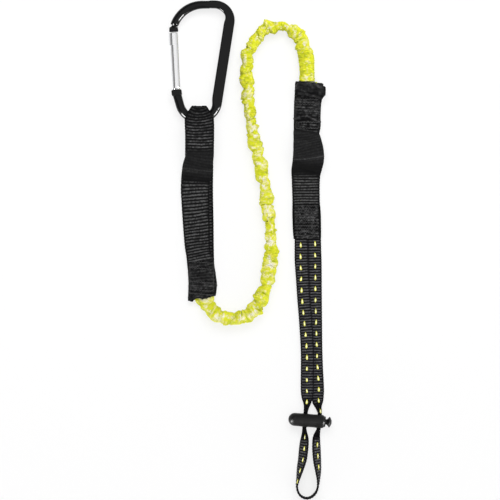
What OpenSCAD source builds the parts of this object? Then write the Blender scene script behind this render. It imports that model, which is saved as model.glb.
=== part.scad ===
// Shock absorbing tool lanyard, laid flat on a table: a carabiner on a webbing loop, an elastic
// shock sleeve, a tool strap and a narrow choke loop with a spring cord lock.
// +X to the right, +Y from the tool loop towards the carabiner, +Z up from the table.

/* [Carabiner] */
// Overall length of the carabiner
carabiner_length = 93.6; // [85:0.1:105]
// Diameter of the bent rod
rod_d = 6.4; // [5.5:0.1:7]
// Centreline radius of the bend that sits in the strap
bottom_bend_r = 14.7; // [12:0.1:17]
// Centreline radius of the far bend on the spine's side
spine_bend_r = 12; // [9:0.1:14]
// Centreline radius of the far bend on the gate's side
nose_bend_r = 23.1; // [18:0.1:26]
// Sideways offset of the spine's far bend from the bottom bend
spine_bend_x = 12.2; // [8:0.1:16]
// Sideways offset of the gate's far bend from the bottom bend
nose_bend_x = 3.3; // [2:0.1:6]
// Width of the flattened spine
spine_w = 8; // [7:0.1:9]
// Thickness of the flattened spine
spine_t = 5.2; // [4:0.1:5.4]

/* [Gate] */
// Diameter of the gate bar
gate_d = 7.2; // [6.8:0.1:7.6]
// Length of the gate from its pivot to its tip
gate_length = 46.4; // [40:0.1:47]
// Lean of the closed gate away from the carabiner's long axis
gate_lean = 2.8; // [2:0.1:3.2]
// Angle that the gate opens inwards
gate_open = 26; // [20:1:28]
// Diameter of the gate's pivot rivet
pivot_d = 1.8; // [1.6:0.1:2]
// Diameter of the latch pin across the gate's tip
latch_pin_d = 1.6; // [1.4:0.1:1.8]
// Thickness of the tongues that run in the slots
tongue_t = 2.6; // [2.2:0.1:3]
// Sideways offset of the gate's spring from its pivot
spring_offset = 1.9; // [1.85:0.05:2]
// Outside diameter of the gate's spring
gate_spring_d = 2.4; // [2.2:0.1:2.5]
// Free length of the gate's spring as fitted
gate_spring_length = 14; // [10:1:18]

/* [Webbing] */
// Thickness of the wide webbing
web_t = 1.6; // [1.2:0.1:2]
// Width of the wide webbing as it lies, a little cupped
web_w = 21.8; // [20:0.2:25]
// Thickness of the narrow loop webbing
loop_t = 1.4; // [1.2:0.1:1.6]
// Width of the narrow loop webbing
loop_w = 10.3; // [9:0.1:10.4]
// Height of the carabiner strap's fold over the table
fold_h = 13; // [12.8:0.2:15]
// Length of the carabiner strap below the carabiner's bar
strap_length = 137.5; // [130:0.5:140]
// Thickness of the sleeve's flattened tail between the layers
tail_t = 2.4; // [2:0.1:3]
// Length of the sleeve's tail inside a strap
tail_length = 28; // [20:1:30]
// Height of the stitches over the webbing
stitch_h = 0.3; // [0.2:0.1:0.5]
// Length of one woven tracer dash
dash_length = 4.2; // [3:0.1:5]
// Distance from one tracer dash to the next
dash_pitch = 8.4; // [7:0.1:10]

/* [Shock sleeve] */
// Outside diameter of the gathered sleeve
sleeve_d = 10.5; // [9:0.1:10.6]
// Wall of the gathered sleeve
sleeve_wall = 1.6; // [1:0.1:2]

/* [Cord lock] */
// Outside diameter of the lock's barrel
barrel_d = 10; // [9.4:0.1:10.4]
// Length of the barrel
barrel_length = 28.3; // [27:0.1:30]
// Diameter of the plunger's stem
stem_d = 6.4; // [6:0.1:6.8]
// Diameter of the plunger's button
button_d = 8.3; // [7.6:0.1:9]
// Travel of the plunger
plunger_travel = 2; // [1:0.1:2]
// Distance between the two legs of the loop inside the lock
leg_spacing = 10.8; // [10.6:0.1:11]
// Width of one gathered leg inside the lock
gathered_w = 3.6; // [3:0.1:3.8]
// Height of one gathered leg inside the lock
gathered_t = 3; // [2.4:0.1:3.2]
// Turn of the lock on the table
lock_turn = -4.6; // [-6:0.2:0]

/* [Clearances] */
// Running clearance of pins, tongues and the plunger, on radius or per side
running_gap = 0.05; // [0.03:0.01:0.08]
// Gap where a loose piece rests on webbing
rest_gap = 0.2; // [0.1:0.05:0.3]
// Gap round a gathered leg in the lock's slots
leg_gap = 0.3; // [0.2:0.05:0.4]

/* [Hidden] */
$fn = 48;

webbing_black = [0.07, 0.07, 0.075];
anodised_black = [0.04, 0.04, 0.045];
polished = [0.86, 0.87, 0.88];
lime = [0.84, 0.88, 0.12];
cream_yellow = [0.92, 0.84, 0.25];
plastic_black = [0.1, 0.1, 0.1];
spring_steel = [0.6, 0.6, 0.62];

// The carabiner's own frame: its origin is the middle of the bar that the strap holds.
carabiner_at = [-39, 99];
carabiner_z = web_t + rest_gap + rod_d / 2;
far_y = carabiner_length - rod_d;
weld = 0.2;
weld_step = 0.06;
bottom_centre = [0, bottom_bend_r];
spine_centre = [spine_bend_x, far_y - spine_bend_r];
nose_centre = [nose_bend_x, far_y - nose_bend_r];
spine_reach = spine_centre - bottom_centre;
spine_lean = acos((bottom_bend_r - spine_bend_r) / norm(spine_reach));
spine_angle = atan2(spine_reach[1], spine_reach[0]) - spine_lean;
spine_normal = [cos(spine_angle), sin(spine_angle)];

// The gate's pivot stands on the line that leaves the bottom bend at shank_lean.
shank_lean = 15.5;
shank_length = 9.2;
shank_normal = [-cos(shank_lean), -sin(shank_lean)];
shank_way = [-sin(shank_lean), cos(shank_lean)];
shank_foot = bottom_centre + bottom_bend_r * shank_normal;
pivot_at = shank_foot + shank_length * shank_way;
cheek_r = gate_d / 2 + running_gap;
cheek_gap = 0.15;
fork_floor = 3;
fork_foot = 2.4;
tongue_end_r = fork_floor - 2 * cheek_gap;

// The nose: a hammer head on a turned neck, and a hooked tongue that enters the gate's slot.
head_gap = 0.35;
head_h = 3.2;
neck_d = 4.4;
neck_h = 1.3;
nose_root = gate_length + head_gap + head_h + neck_h;
nose_end = pivot_at + nose_root * [-sin(gate_lean), cos(gate_lean)] - nose_centre;
nose_end_angle = (atan2(nose_end[1], nose_end[0]) + 360) % 360;
latch_at = gate_length - 2.2;
hook_depth = 2.2;
hook_root = latch_pin_d / 2 + 0.4;
hook_end = latch_at - latch_pin_d / 2 - 2;
slot_bottom = hook_end - 0.9;
push_rod_d = 1.4;
spring_wire = 0.4;
spring_seat = 8;

// Heights of the layers of webbing.
eye_r = fold_h / 2 - web_t;
tail_top = web_t + tail_t;
loop_top = web_t + loop_t;
strap_at = [carabiner_at[0] + 0.4, carabiner_at[1]];
fold_out = 10.2;
fold_y = strap_at[1] + fold_out - fold_h / 2;
fold_half = 5.4;
neck_half = 7.7;
neck_reach = 3.8;
neck_flare = 2.2;
strap_bow = 1.4;
strap_end = strap_at[1] - strap_length;
eye_end = 51.5;
eye_ramp = 32;
tail_start = strap_end + tail_length;
tail_ramp = 8;
tail_w = 15;

tool_strap_x = 44;
tool_mouth = 127.8;
tool_end = 8.9;
hem_length = 11;
bulge_start = 90.2;
bulge_end = 53;
bulge_h = 5.1;
bulge_bow = 0.8;
leg_cover = 26;
cover_step = 2;
seam_inset = 2.5;

// Route of the elastic sleeve on the table, from the carabiner strap to the tool strap.
sleeve_z = sleeve_d / 2 + 0.15;
sleeve_route = [
    [-34.6, -38.6], [-33.4, -42.4], [-29.4, -46.8], [-23.6, -50.2], [-16.6, -51.8], [-9.2, -51.8],
    [-2.4, -49.6], [3.4, -44.6], [7.8, -37.8], [11.0, -30.2], [13.4, -22.2], [15.0, -13.8],
    [15.8, -4.6], [16.0, 5.2], [15.6, 15.2], [14.4, 25.6], [12.9, 36.2], [11.1, 46.8],
    [9.0, 57.4], [6.8, 68.0], [4.6, 78.6], [2.5, 89.4], [0.7, 100.2], [-0.9, 110.8],
    [-2.2, 121.4], [-2.8, 132.0], [-2.5, 142.0], [-0.5, 151.2], [3.6, 159.2], [9.8, 165.6],
    [17.6, 169.4], [25.6, 169.8], [32.6, 166.6], [37.6, 160.6], [41.0, 152.6], [42.8, 144.4],
    [43.3, 136.0], [43.3, 127.9]
];

// The cord lock's own frame: its origin is on its axis, midway between the two legs.
lock_at = [47.2, -130];
lock_z = barrel_d / 2;
lock_left = -18.1;
lock_right = lock_left + barrel_length;
barrel_wall_end = 2.4;
end_round = 2.6;
chamfer = 0.9;
waist_half = barrel_d / 2 + 1.6;
waist_gap = 0.6;
slot_w = gathered_w + 2 * leg_gap;
slot_h = gathered_t + 2 * leg_gap;
plunger_left = lock_left + barrel_wall_end + 5.5;
neck_length = 1.2;
button_cone = 1.9;
button_tip = 1.6;
stem_end = lock_right - 0.2;
button_neck_d = 4.2;

// Where a leg meets the gathered webbing in the lock: side -1 is the left leg, way 1 is upwards.
function lock_station(side, way) =
    let (
        x = side * leg_spacing / 2,
        y = way * (waist_half + waist_gap),
        across = x * cos(lock_turn) - y * sin(lock_turn),
        along = x * sin(lock_turn) + y * cos(lock_turn)
    )
    [lock_at[0] + across, lock_at[1] + along, lock_z, gathered_w, gathered_t, 0];

// The narrow webbing: [x, y, z, width, thickness, roll] down each leg, and round the tool loop.
leg_start = tool_end + leg_cover - cover_step;
leg_lap_z = web_t + loop_t / 2;
left_leg = [
    [38.8, leg_start, leg_lap_z, loop_w, loop_t, 0], [38.8, tool_end - 2, leg_lap_z, loop_w, loop_t, 0],
    [39.1, -9, leg_lap_z, loop_w, loop_t, 0], [40.9, -36, 2.4, loop_w, loop_t, 0],
    [42.2, -52, 2.4, loop_w, loop_t, 0], [43.3, -69, 2.4, loop_w, loop_t, 0],
    [43.7, -91, 2.4, loop_w, loop_t, 0], [43.2, -105, 2.7, 10, loop_t, 0],
    [42.7, -113, 3.6, 8.6, 1.6, 0], [42.1, -119, 4.6, 5.8, 2.2, 0], lock_station(-1, 1)
];
right_leg = [
    [49.3, leg_start, leg_lap_z, loop_w, loop_t, 0], [49.3, tool_end - 2, leg_lap_z, loop_w, loop_t, 0],
    [49.4, -2, 1.5, loop_w, loop_t, 0], [49.5, -9, 0.75, loop_w, loop_t, 0],
    [49.7, -38, 0.75, loop_w, loop_t, 0], [50.0, -69, 0.75, loop_w, loop_t, 0],
    [50.4, -91, 0.75, loop_w, loop_t, 0], [51.1, -105, 0.9, 10, loop_t, 0],
    [51.8, -113, 1.7, 8.6, 1.6, 0], [52.4, -119, 4.2, 5.8, 2.2, 0], lock_station(1, 1)
];

bight = [
    lock_station(-1, -1), [41.5, -141, 5, 6, 2.2, 28], [41.2, -147, 5.1, 9.4, loop_t, 48],
    [40.6, -153, 5.2, loop_w, loop_t, 51], [39.9, -159, 5.2, loop_w, loop_t, 52],
    [38.3, -166, 5.2, loop_w, loop_t, 63], [36.4, -174, 5.2, loop_w, loop_t, 80],
    [35.7, -179, 5.2, loop_w, loop_t, 88], [36.2, -183, 5.2, loop_w, loop_t, 90],
    [37.8, -186.2, 5.2, loop_w, loop_t, 90], [40.4, -188.2, 5.2, loop_w, loop_t, 90],
    [43.6, -188.8, 5.2, loop_w, loop_t, 90], [47.0, -187.6, 5.2, loop_w, loop_t, 90],
    [49.8, -184.8, 5.2, loop_w, loop_t, 90], [51.4, -181, 5.2, loop_w, loop_t, 88],
    [52.0, -175, 5.2, loop_w, loop_t, 82], [51.8, -168, 5.2, loop_w, loop_t, 68],
    [51.0, -160, 5.2, loop_w, loop_t, 57], [50.5, -152, 5.2, loop_w, loop_t, 55],
    [50.4, -146, 5.1, 9, loop_t, 50], [51.0, -141, 5, 5.6, 2.4, 28], lock_station(1, -1)
];

// Unit direction of a path in plan at point i.
function heading(path, i) =
    let (a = path[max(i - 1, 0)], b = path[min(i + 1, len(path) - 1)], d = [b[0] - a[0], b[1] - a[1]])
    d / norm(d);

// Corners of a flat strip's section at one station: rolled about the direction of travel.
function strip_ring(path, i) =
    let (
        s = path[i],
        h = heading(path, i),
        out = [h[1], -h[0], 0],
        up = [0, 0, 1],
        across = cos(s[5]) * out - sin(s[5]) * up,
        face = sin(s[5]) * out + cos(s[5]) * up,
        centre = [s[0], s[1], s[2]]
    )
    [
        for (c = [[-1, -1], [1, -1], [1, 1], [-1, 1]])
            centre + c[0] * s[3] / 2 * across + c[1] * s[4] / 2 * face
    ];

// Faces between rings of n points, with flat caps at both ends.
function ring_faces(rings, n) = concat(
    [[for (k = [n - 1 : -1 : 0]) k]],
    [for (i = [0 : rings - 2], k = [0 : n - 1])
        [i * n + k, i * n + (k + 1) % n, (i + 1) * n + (k + 1) % n]],
    [for (i = [0 : rings - 2], k = [0 : n - 1])
        [i * n + k, (i + 1) * n + (k + 1) % n, (i + 1) * n + k]],
    [[for (k = [0 : n - 1]) (rings - 1) * n + k]]
);

// A flat strip of webbing swept along its stations.
module strip(path) {
    points = [for (i = [0 : len(path) - 1]) each strip_ring(path, i)];
    polyhedron(points, [for (f = ring_faces(len(path), 4)) [for (k = [len(f) - 1 : -1 : 0]) f[k]]]);
}

// A round tube's solid core of radius r along the sleeve's route, square to the strap at both ends.
module sleeve_rod(r, over) {
    sides = 12;
    last = len(sleeve_route) - 1;
    function direction(i) = i == 0 ? [0, -1] : i == last ? [0, -1] : heading(sleeve_route, i);
    function at(i) = sleeve_route[i] - (i == 0 ? over : i == last ? -over : 0) * direction(i);
    points = [
        for (i = [0 : last], k = [0 : sides - 1])
            let (h = direction(i), a = (k + 0.5) * 360 / sides)
                [at(i)[0] + r * cos(a) * h[1], at(i)[1] - r * cos(a) * h[0], sleeve_z + r * sin(a)]
    ];
    polyhedron(points, ring_faces(last + 1, sides));
}

// A coil spring along +Z with flat-cut ends.
module coil_spring(outer_d, wire, length, turns) {
    steps = 14;
    sides = 6;
    r = (outer_d - wire) / 2;
    count = turns * steps;
    rise = length - wire;
    points = [
        for (i = [0 : count], k = [0 : sides - 1])
            let (a = i * 360 / steps, b = k * 360 / sides, q = r + wire / 2 * cos(b))
                [q * cos(a), q * sin(a), wire / 2 + i / count * rise + wire / 2 * sin(b)]
    ];
    polyhedron(points, [for (f = ring_faces(count + 1, sides)) [for (k = [len(f) - 1 : -1 : 0]) f[k]]]);
}

module in_carabiner_frame() {
    translate([carabiner_at[0], carabiner_at[1], carabiner_z]) children();
}

// The gate's frame: origin at its pivot, +Y along the gate, +X towards the inside of the carabiner.
module in_gate_frame() {
    in_carabiner_frame() translate([pivot_at[0], pivot_at[1], 0]) rotate([0, 0, gate_lean]) children();
}

module in_lock_frame() {
    translate([lock_at[0], lock_at[1], lock_z]) rotate([0, 0, lock_turn]) children();
}

// A bent stretch of the carabiner's rod between two angles.
module rod_bend(centre, r, from, to) {
    translate([centre[0], centre[1], 0]) rotate([0, 0, from])
        rotate_extrude(angle = to - from) translate([r, 0]) circle(d = rod_d);
}

// A straight stretch of the rod from a to b. It is a hair thicker than the bends and runs into them.
module rod_straight(a, b) {
    d = b - a;
    translate([a[0], a[1], 0]) rotate([0, 0, atan2(d[1], d[0])]) translate([-weld, 0, 0]) rotate([0, 90, 0])
        cylinder(d = rod_d + weld_step, h = norm(d) + 2 * weld);
}

// The flattened spine: its outer face follows the bends' outer edge, its corners are cut back.
module spine() {
    start = bottom_centre + bottom_bend_r * spine_normal;
    end = spine_centre + spine_bend_r * spine_normal;
    d = end - start;
    corner = 1.4;
    outer = rod_d / 2;
    inner = spine_w - rod_d / 2;
    level = spine_t / 2;
    half = [
        [inner - corner, level], [inner, level - corner], [inner, corner - level], [inner - corner, -level]
    ];
    other = [
        [corner - outer, -level], [-outer, corner - level], [-outer, level - corner], [corner - outer, level]
    ];
    translate([start[0], start[1], 0]) rotate([0, 0, atan2(d[1], d[0])]) translate([-weld, 0, 0])
        rotate([90, 0, 90]) linear_extrude(norm(d) + 2 * weld) polygon(concat(half, other));
}

// A bar across the slots of the gate, along Z.
module cross_pin(d, h) {
    cylinder(d = d, h = h, center = true);
}

module nose() {
    translate([0, gate_length + head_gap + head_h, 0]) rotate([90, 0, 0]) cylinder(d = gate_d, h = head_h);
    translate([0, nose_root + 1, 0]) rotate([90, 0, 0]) cylinder(d = neck_d, h = neck_h + 2);
    difference() {
        translate([-hook_depth, hook_end, -tongue_t / 2 + running_gap])
            cube([2 * hook_depth, gate_length + head_gap + 1 - hook_end, tongue_t - 2 * running_gap]);
        translate([-latch_pin_d / 2 - 0.15, latch_at - hook_root, -tongue_t])
            cube([2 * hook_depth + gate_d, 2 * hook_root - 0.2, 2 * tongue_t]);
    }
}

module fork() {
    difference() {
        union() {
            cylinder(r = cheek_r, h = rod_d, center = true);
            translate([-cheek_r, -fork_floor - fork_foot, -rod_d / 2])
                cube([2 * cheek_r, fork_floor + fork_foot, rod_d]);
        }
        translate([-gate_d, -fork_floor, -tongue_t / 2 - running_gap])
            cube([2 * gate_d, gate_d + fork_floor, tongue_t + 2 * running_gap]);
        cross_pin(pivot_d, 2 * rod_d);
    }
}

module carabiner_body() {
    color(anodised_black) {
        in_carabiner_frame() {
            rod_bend(bottom_centre, bottom_bend_r, 180 + shank_lean, 360 + spine_angle);
            spine();
            rod_bend(spine_centre, spine_bend_r, spine_angle, 90);
            rod_straight(nose_centre + [0, nose_bend_r], spine_centre + [0, spine_bend_r]);
            rod_bend(nose_centre, nose_bend_r, 90, nose_end_angle);
            rod_straight(shank_foot, pivot_at - (fork_floor + fork_foot / 2) * shank_way);
        }
        in_gate_frame() {
            fork();
            nose();
        }
    }
}

module gate_pivot_rivet() {
    color(anodised_black) in_gate_frame() cross_pin(pivot_d, rod_d);
}

module gate_latch_pin() {
    color(polished) in_gate_frame() translate([0, latch_at, 0]) cross_pin(latch_pin_d, gate_d - 0.8);
}

module carabiner_gate() {
    bar_start = 2;
    spring_top = spring_seat + gate_spring_length + 0.1;
    color(polished) in_gate_frame() difference() {
        union() {
            difference() {
                translate([0, gate_length, 0]) rotate([90, 0, 0])
                    cylinder(d = gate_d, h = gate_length - bar_start);
                cylinder(r = cheek_r + cheek_gap, h = 2 * gate_d, center = true);
            }
            cylinder(r = tongue_end_r, h = tongue_t, center = true);
            translate([-tongue_end_r, 0, -tongue_t / 2]) cube([2 * tongue_end_r, cheek_r + 2, tongue_t]);
        }
        cross_pin(pivot_d + 2 * running_gap, 2 * gate_d);
        translate([-gate_d, slot_bottom, -tongue_t / 2]) cube([2 * gate_d, gate_length, tongue_t]);
        translate([0, latch_at, 0]) cross_pin(latch_pin_d, gate_d - 0.8);
        translate([spring_offset, spring_top, 0]) rotate([90, 0, 0])
            cylinder(d = gate_spring_d + 0.2, h = spring_top - spring_seat + 2.4);
        translate([spring_offset, spring_seat, 0]) rotate([90, 0, 0])
            cylinder(d = push_rod_d + 2 * running_gap, h = spring_seat + gate_d);
    }
}

module gate_push_rod() {
    tip = fork_floor - running_gap;
    color(spring_steel) in_gate_frame() translate([spring_offset, 0, 0]) {
        translate([0, spring_seat - 1, 0]) rotate([90, 0, 0])
            cylinder(d = push_rod_d, h = spring_seat - 1 + tip - push_rod_d / 2);
        translate([0, -tip + push_rod_d / 2, 0]) sphere(d = push_rod_d);
        translate([0, spring_seat, 0]) rotate([90, 0, 0]) cylinder(d = gate_spring_d, h = 1);
    }
}

module gate_spring() {
    color(spring_steel) in_gate_frame() translate([spring_offset, spring_seat + 0.03, 0]) rotate([-90, 0, 0])
        coil_spring(gate_spring_d, spring_wire, gate_spring_length, 9);
}

// Side view of a piece of webbing, [y, z], given its thickness by the module that calls it.
module side_view(x, width) {
    translate([x - width / 2, 0, 0]) rotate([90, 0, 90]) linear_extrude(width) children();
}

// Plan view of a piece of webbing, cut out over the whole height.
module plan_view() {
    translate([0, 0, -1]) linear_extrude(fold_h + 4) children();
}

// Share of a smooth step that is done at t, from 0 to 1.
function ease(t) = t * t * (3 - 2 * t);

// Side view of the layer that climbs from the seam to the fold, as it starts at height z.
function eye_layer(z) = [
    for (t = [0 : 0.1 : 1]) [eye_end + t * eye_ramp, z + ease(t) * (fold_h - 2 * web_t)]
];

// Half circle round the fold, from the upper layer to the lower one.
function fold_arc(r) = [for (a = [90 : -15 : -90]) [fold_y + r * cos(a), fold_h / 2 + r * sin(a)]];

// A plan outline from its right half, listed downwards.
function both_halves(half) = concat(half, [for (i = [len(half) - 1 : -1 : 0]) [-half[i][0], half[i][1]]]);

module carabiner_strap() {
    outside = concat(
        [[strap_end, 0], [strap_end, tail_top + web_t], [tail_start, tail_top + web_t]],
        [[tail_start + tail_ramp, 2 * web_t]],
        eye_layer(2 * web_t),
        fold_arc(fold_h / 2)
    );
    eye = concat(eye_layer(web_t), fold_arc(eye_r));
    tail_slot = [
        [strap_end - 1, web_t], [strap_end - 1, tail_top],
        [tail_start, tail_top], [tail_start + tail_ramp, web_t]
    ];
    half = web_w / 2;
    outline = [
        [fold_half, fold_out], [neck_half, fold_out - neck_reach], [neck_half, -neck_reach],
        [half, -neck_reach - neck_flare], [half, -strap_length / 6], [half + strap_bow, -0.4 * strap_length],
        [half, -0.8 * strap_length], [half, -strap_length]
    ];
    color(webbing_black) intersection() {
        side_view(strap_at[0], 2 * web_w) difference() {
            polygon(outside);
            polygon(eye);
            polygon(tail_slot);
        }
        plan_view() translate(strap_at)
            polygon(both_halves(outline));
    }
}

// A sewn box with its diagonals, as one raised line of thread.
module box_stitch(x, low_y, high_y, width, z) {
    line = 1;
    inside = high_y - low_y - line;
    diagonal = norm([width - line, inside]);
    for (y = [low_y, high_y - line])
        translate([x - width / 2, y, z]) cube([width, line, stitch_h]);
    for (side = [-1, 1]) {
        translate([x + side * (width - line) / 2 - line / 2, low_y, z])
            cube([line, high_y - low_y, stitch_h]);
        translate([x, (low_y + high_y) / 2, z]) rotate([0, 0, side * atan2(inside, width - line)])
            translate([-diagonal / 2, -line / 2, 0]) cube([diagonal, line, stitch_h]);
    }
}

module carabiner_strap_stitching() {
    color(webbing_black) box_stitch(
        strap_at[0], strap_end + seam_inset, tail_start - 1, web_w - 2 * seam_inset, tail_top + web_t
    );
}

module sleeve_tail_carabiner_end() {
    color(lime) translate([sleeve_route[0][0] - 2 - tail_w / 2, strap_end, web_t])
        cube([tail_w, tail_length, tail_t]);
}

module elastic_sleeve() {
    color(lime) difference() {
        sleeve_rod(sleeve_d / 2, 0);
        sleeve_rod(sleeve_d / 2 - sleeve_wall, 1);
    }
}

module elastic_core() {
    color("ivory") sleeve_rod(sleeve_d / 2 - sleeve_wall - 0.15, 0);
}

module sleeve_tail_tool_end() {
    color(lime) translate([tool_strap_x - tail_w / 2, tool_mouth - tail_length, web_t])
        cube([tail_w, tail_length, tail_t]);
}

// The tool strap in plan: slightly wider over its bulge.
module tool_strap_plan() {
    half = web_w / 2;
    outline = [
        [half, tool_mouth], [half, bulge_start], [half + bulge_bow, (bulge_start + bulge_end) / 2],
        [half, bulge_end], [half, tool_end]
    ];
    plan_view() translate([tool_strap_x, 0])
        polygon(both_halves(outline));
}

// Side view of the front layer's two faces: a step down over the legs' ends, a bulge, then the tail.
function front_layer(lift) =
    let (cover = tool_end + leg_cover)
    concat(
        [[tool_end, loop_top + lift], [cover - cover_step, loop_top + lift]],
        [[cover + cover_step, web_t + lift]],
        [for (t = [0 : 0.1 : 1]) [
            bulge_end + t * (bulge_start - bulge_end),
            web_t + lift + ease(t) * tail_t + bulge_h * pow(sin(180 * t), 2)
        ]],
        [[tool_mouth, tail_top + lift]]
    );

module tool_strap_front() {
    under = front_layer(0);
    over = front_layer(web_t);
    color(webbing_black) intersection() {
        side_view(tool_strap_x, 2 * web_w)
            polygon(concat(under, [for (i = [len(over) - 1 : -1 : 0]) over[i]]));
        tool_strap_plan();
    }
}

module tool_strap_back() {
    color(webbing_black) intersection() {
        side_view(tool_strap_x, 2 * web_w) translate([tool_end, 0]) square([tool_mouth - tool_end, web_t]);
        tool_strap_plan();
    }
}

module tool_strap_hem() {
    hem_w = web_w + 1.2;
    color(webbing_black)
        translate([tool_strap_x + 0.6 - hem_w / 2, tool_mouth - hem_length, tail_top + web_t])
            cube([hem_w, hem_length, web_t]);
}

module tool_strap_box_stitching() {
    color(webbing_black) box_stitch(
        tool_strap_x, bulge_start + 1, tool_mouth - hem_length - 1, web_w - 2 * seam_inset, tail_top + web_t
    );
}

module tool_strap_bar_tacks() {
    tack_w = web_w - 2 * seam_inset;
    tack_t = 1.2;
    rows = 5;
    color(webbing_black) for (i = [0 : rows - 1])
        translate([
            tool_strap_x - tack_w / 2, tool_end + seam_inset + i * (leg_cover - 3 * seam_inset) / (rows - 1),
            loop_top + web_t
        ])
            cube([tack_w, tack_t, stitch_h]);
}

module choke_loop_left_leg() {
    color(webbing_black) strip(left_leg);
}

module choke_loop_right_leg() {
    color(webbing_black) strip(right_leg);
}

// The two gathered stretches of webbing that pass through the lock.
module choke_loop_waist() {
    color(webbing_black) in_lock_frame() for (side = [-1, 1])
        translate([side * leg_spacing / 2 - gathered_w / 2, -waist_half, -gathered_t / 2])
            cube([gathered_w, 2 * waist_half, gathered_t]);
}

module choke_loop_bight() {
    color(webbing_black) strip(bight);
}

// Height and sideways place of a leg at y, read from its stations.
function leg_at(path, y, column) = lookup(y, [for (s = path) [s[1], s[column]]]);

module choke_loop_tracer() {
    dash_w = 2;
    dash_t = 0.2;
    first = tool_end - dash_pitch / 2;
    last = -100;
    count = floor((first - last) / dash_pitch);
    color(cream_yellow) for (leg = [left_leg, right_leg], i = [0 : count])
        let (y = first - i * dash_pitch, z = max(leg_at(leg, y - 2, 2), leg_at(leg, y + 2, 2)))
            translate([leg_at(leg, y, 0) - dash_w / 2, y - dash_length / 2, z + loop_t / 2 + 0.02])
                cube([dash_w, dash_length, dash_t]);
}

// Turned shape along the lock's axis, from points [along the axis, radius].
module turned(points) {
    rotate([0, 90, 0]) rotate([0, 0, 90]) rotate_extrude() polygon([for (p = points) [p[1], p[0]]]);
}

module cord_lock_barrel() {
    r = barrel_d / 2;
    rounding = [for (a = [0 : 15 : 90])
        [lock_left + end_round * (1 - cos(a)), r - end_round + end_round * sin(a)]];
    bore_start = lock_left + barrel_wall_end;
    color(plastic_black) in_lock_frame() difference() {
        turned(concat(
            [[lock_left, 0]], rounding, [[lock_right - chamfer, r], [lock_right, r - chamfer], [lock_right, 0]]
        ));
        translate([bore_start, 0, 0]) rotate([0, 90, 0])
            cylinder(d = stem_d + 2 * running_gap, h = barrel_length);
        for (side = [-1, 1])
            translate([side * leg_spacing / 2 - slot_w / 2, -barrel_d, -slot_h / 2])
                cube([slot_w, 2 * barrel_d, slot_h]);
    }
}

module cord_lock_plunger() {
    cone_start = lock_right + neck_length;
    cone_end = cone_start + button_cone;
    tip = [for (a = [0 : 15 : 90]) [cone_end + button_tip * sin(a), button_d / 2 * cos(a)]];
    pinch_gap = 0.15;
    color(plastic_black) in_lock_frame() difference() {
        turned(concat(
            [[plunger_left, 0], [plunger_left, stem_d / 2], [stem_end, stem_d / 2]],
            [[stem_end, button_neck_d / 2], [cone_start, button_neck_d / 2]],
            tip
        ));
        for (side = [-1, 1])
            translate([side * leg_spacing / 2 - gathered_w / 2 - pinch_gap, -stem_d, -slot_h / 2])
                cube([gathered_w + pinch_gap + leg_gap + plunger_travel, 2 * stem_d, slot_h]);
    }
}

module cord_lock_spring() {
    bore_start = lock_left + barrel_wall_end;
    color(spring_steel) in_lock_frame() translate([bore_start + 0.05, 0, 0]) rotate([0, 90, 0])
        coil_spring(stem_d - 0.6, 0.6, plunger_left - bore_start - 0.1, 4);
}

carabiner_body();
gate_pivot_rivet();
carabiner_gate();
gate_latch_pin();
gate_spring();
gate_push_rod();
carabiner_strap();
carabiner_strap_stitching();
sleeve_tail_carabiner_end();
elastic_sleeve();
elastic_core();
sleeve_tail_tool_end();
tool_strap_front();
tool_strap_back();
tool_strap_hem();
tool_strap_box_stitching();
tool_strap_bar_tacks();
choke_loop_left_leg();
choke_loop_right_leg();
choke_loop_waist();
choke_loop_bight();
choke_loop_tracer();
cord_lock_barrel();
cord_lock_plunger();
cord_lock_spring();
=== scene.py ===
# %% [markdown]
# # A shock absorbing tool lanyard, laid flat on a table
#
# The object is a carabiner on a loop of ribbed webbing, a lime sleeve gathered over an elastic core, a
# sewn strap, and a narrow choke loop that a spring cord lock draws tight. The CAD model holds the sizes,
# the joints and the hard parts. This lesson makes what a camera would see: yarn, thread, gathers, gloss.

import bpy
import numpy as np
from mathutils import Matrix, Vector
from mathutils.bvhtree import BVHTree


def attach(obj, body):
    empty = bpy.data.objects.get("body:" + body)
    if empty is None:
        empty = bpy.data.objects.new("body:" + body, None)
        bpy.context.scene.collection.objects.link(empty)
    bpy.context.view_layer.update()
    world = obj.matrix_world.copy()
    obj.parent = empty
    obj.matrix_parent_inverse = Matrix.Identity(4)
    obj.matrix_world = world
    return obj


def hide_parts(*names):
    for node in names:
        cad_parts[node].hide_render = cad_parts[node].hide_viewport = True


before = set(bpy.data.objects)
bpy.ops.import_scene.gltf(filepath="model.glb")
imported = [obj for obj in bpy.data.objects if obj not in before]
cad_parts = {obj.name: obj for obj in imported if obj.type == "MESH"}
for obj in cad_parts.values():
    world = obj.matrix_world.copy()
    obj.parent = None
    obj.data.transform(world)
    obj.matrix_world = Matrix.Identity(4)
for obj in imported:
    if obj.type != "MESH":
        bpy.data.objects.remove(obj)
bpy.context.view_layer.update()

MM = 0.001

# %% [markdown]
# ## The camera comes first
#
# The photograph was taken from straight above with a long lens, so upright sides hardly show. A pixel
# covers 0.76 mm of the table. The camera is aimed by its place and angle alone, and needs no shift.

# %% Camera
PHOTO_W = 500
PHOTO_H = 500
PIXEL = 0.76 * MM
LENS = 180.0
SENSOR = 36.0
CAMERA_X = 0.0
CAMERA_Y = -0.23 * MM
SHARP_HEIGHT = 5 * MM

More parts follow.
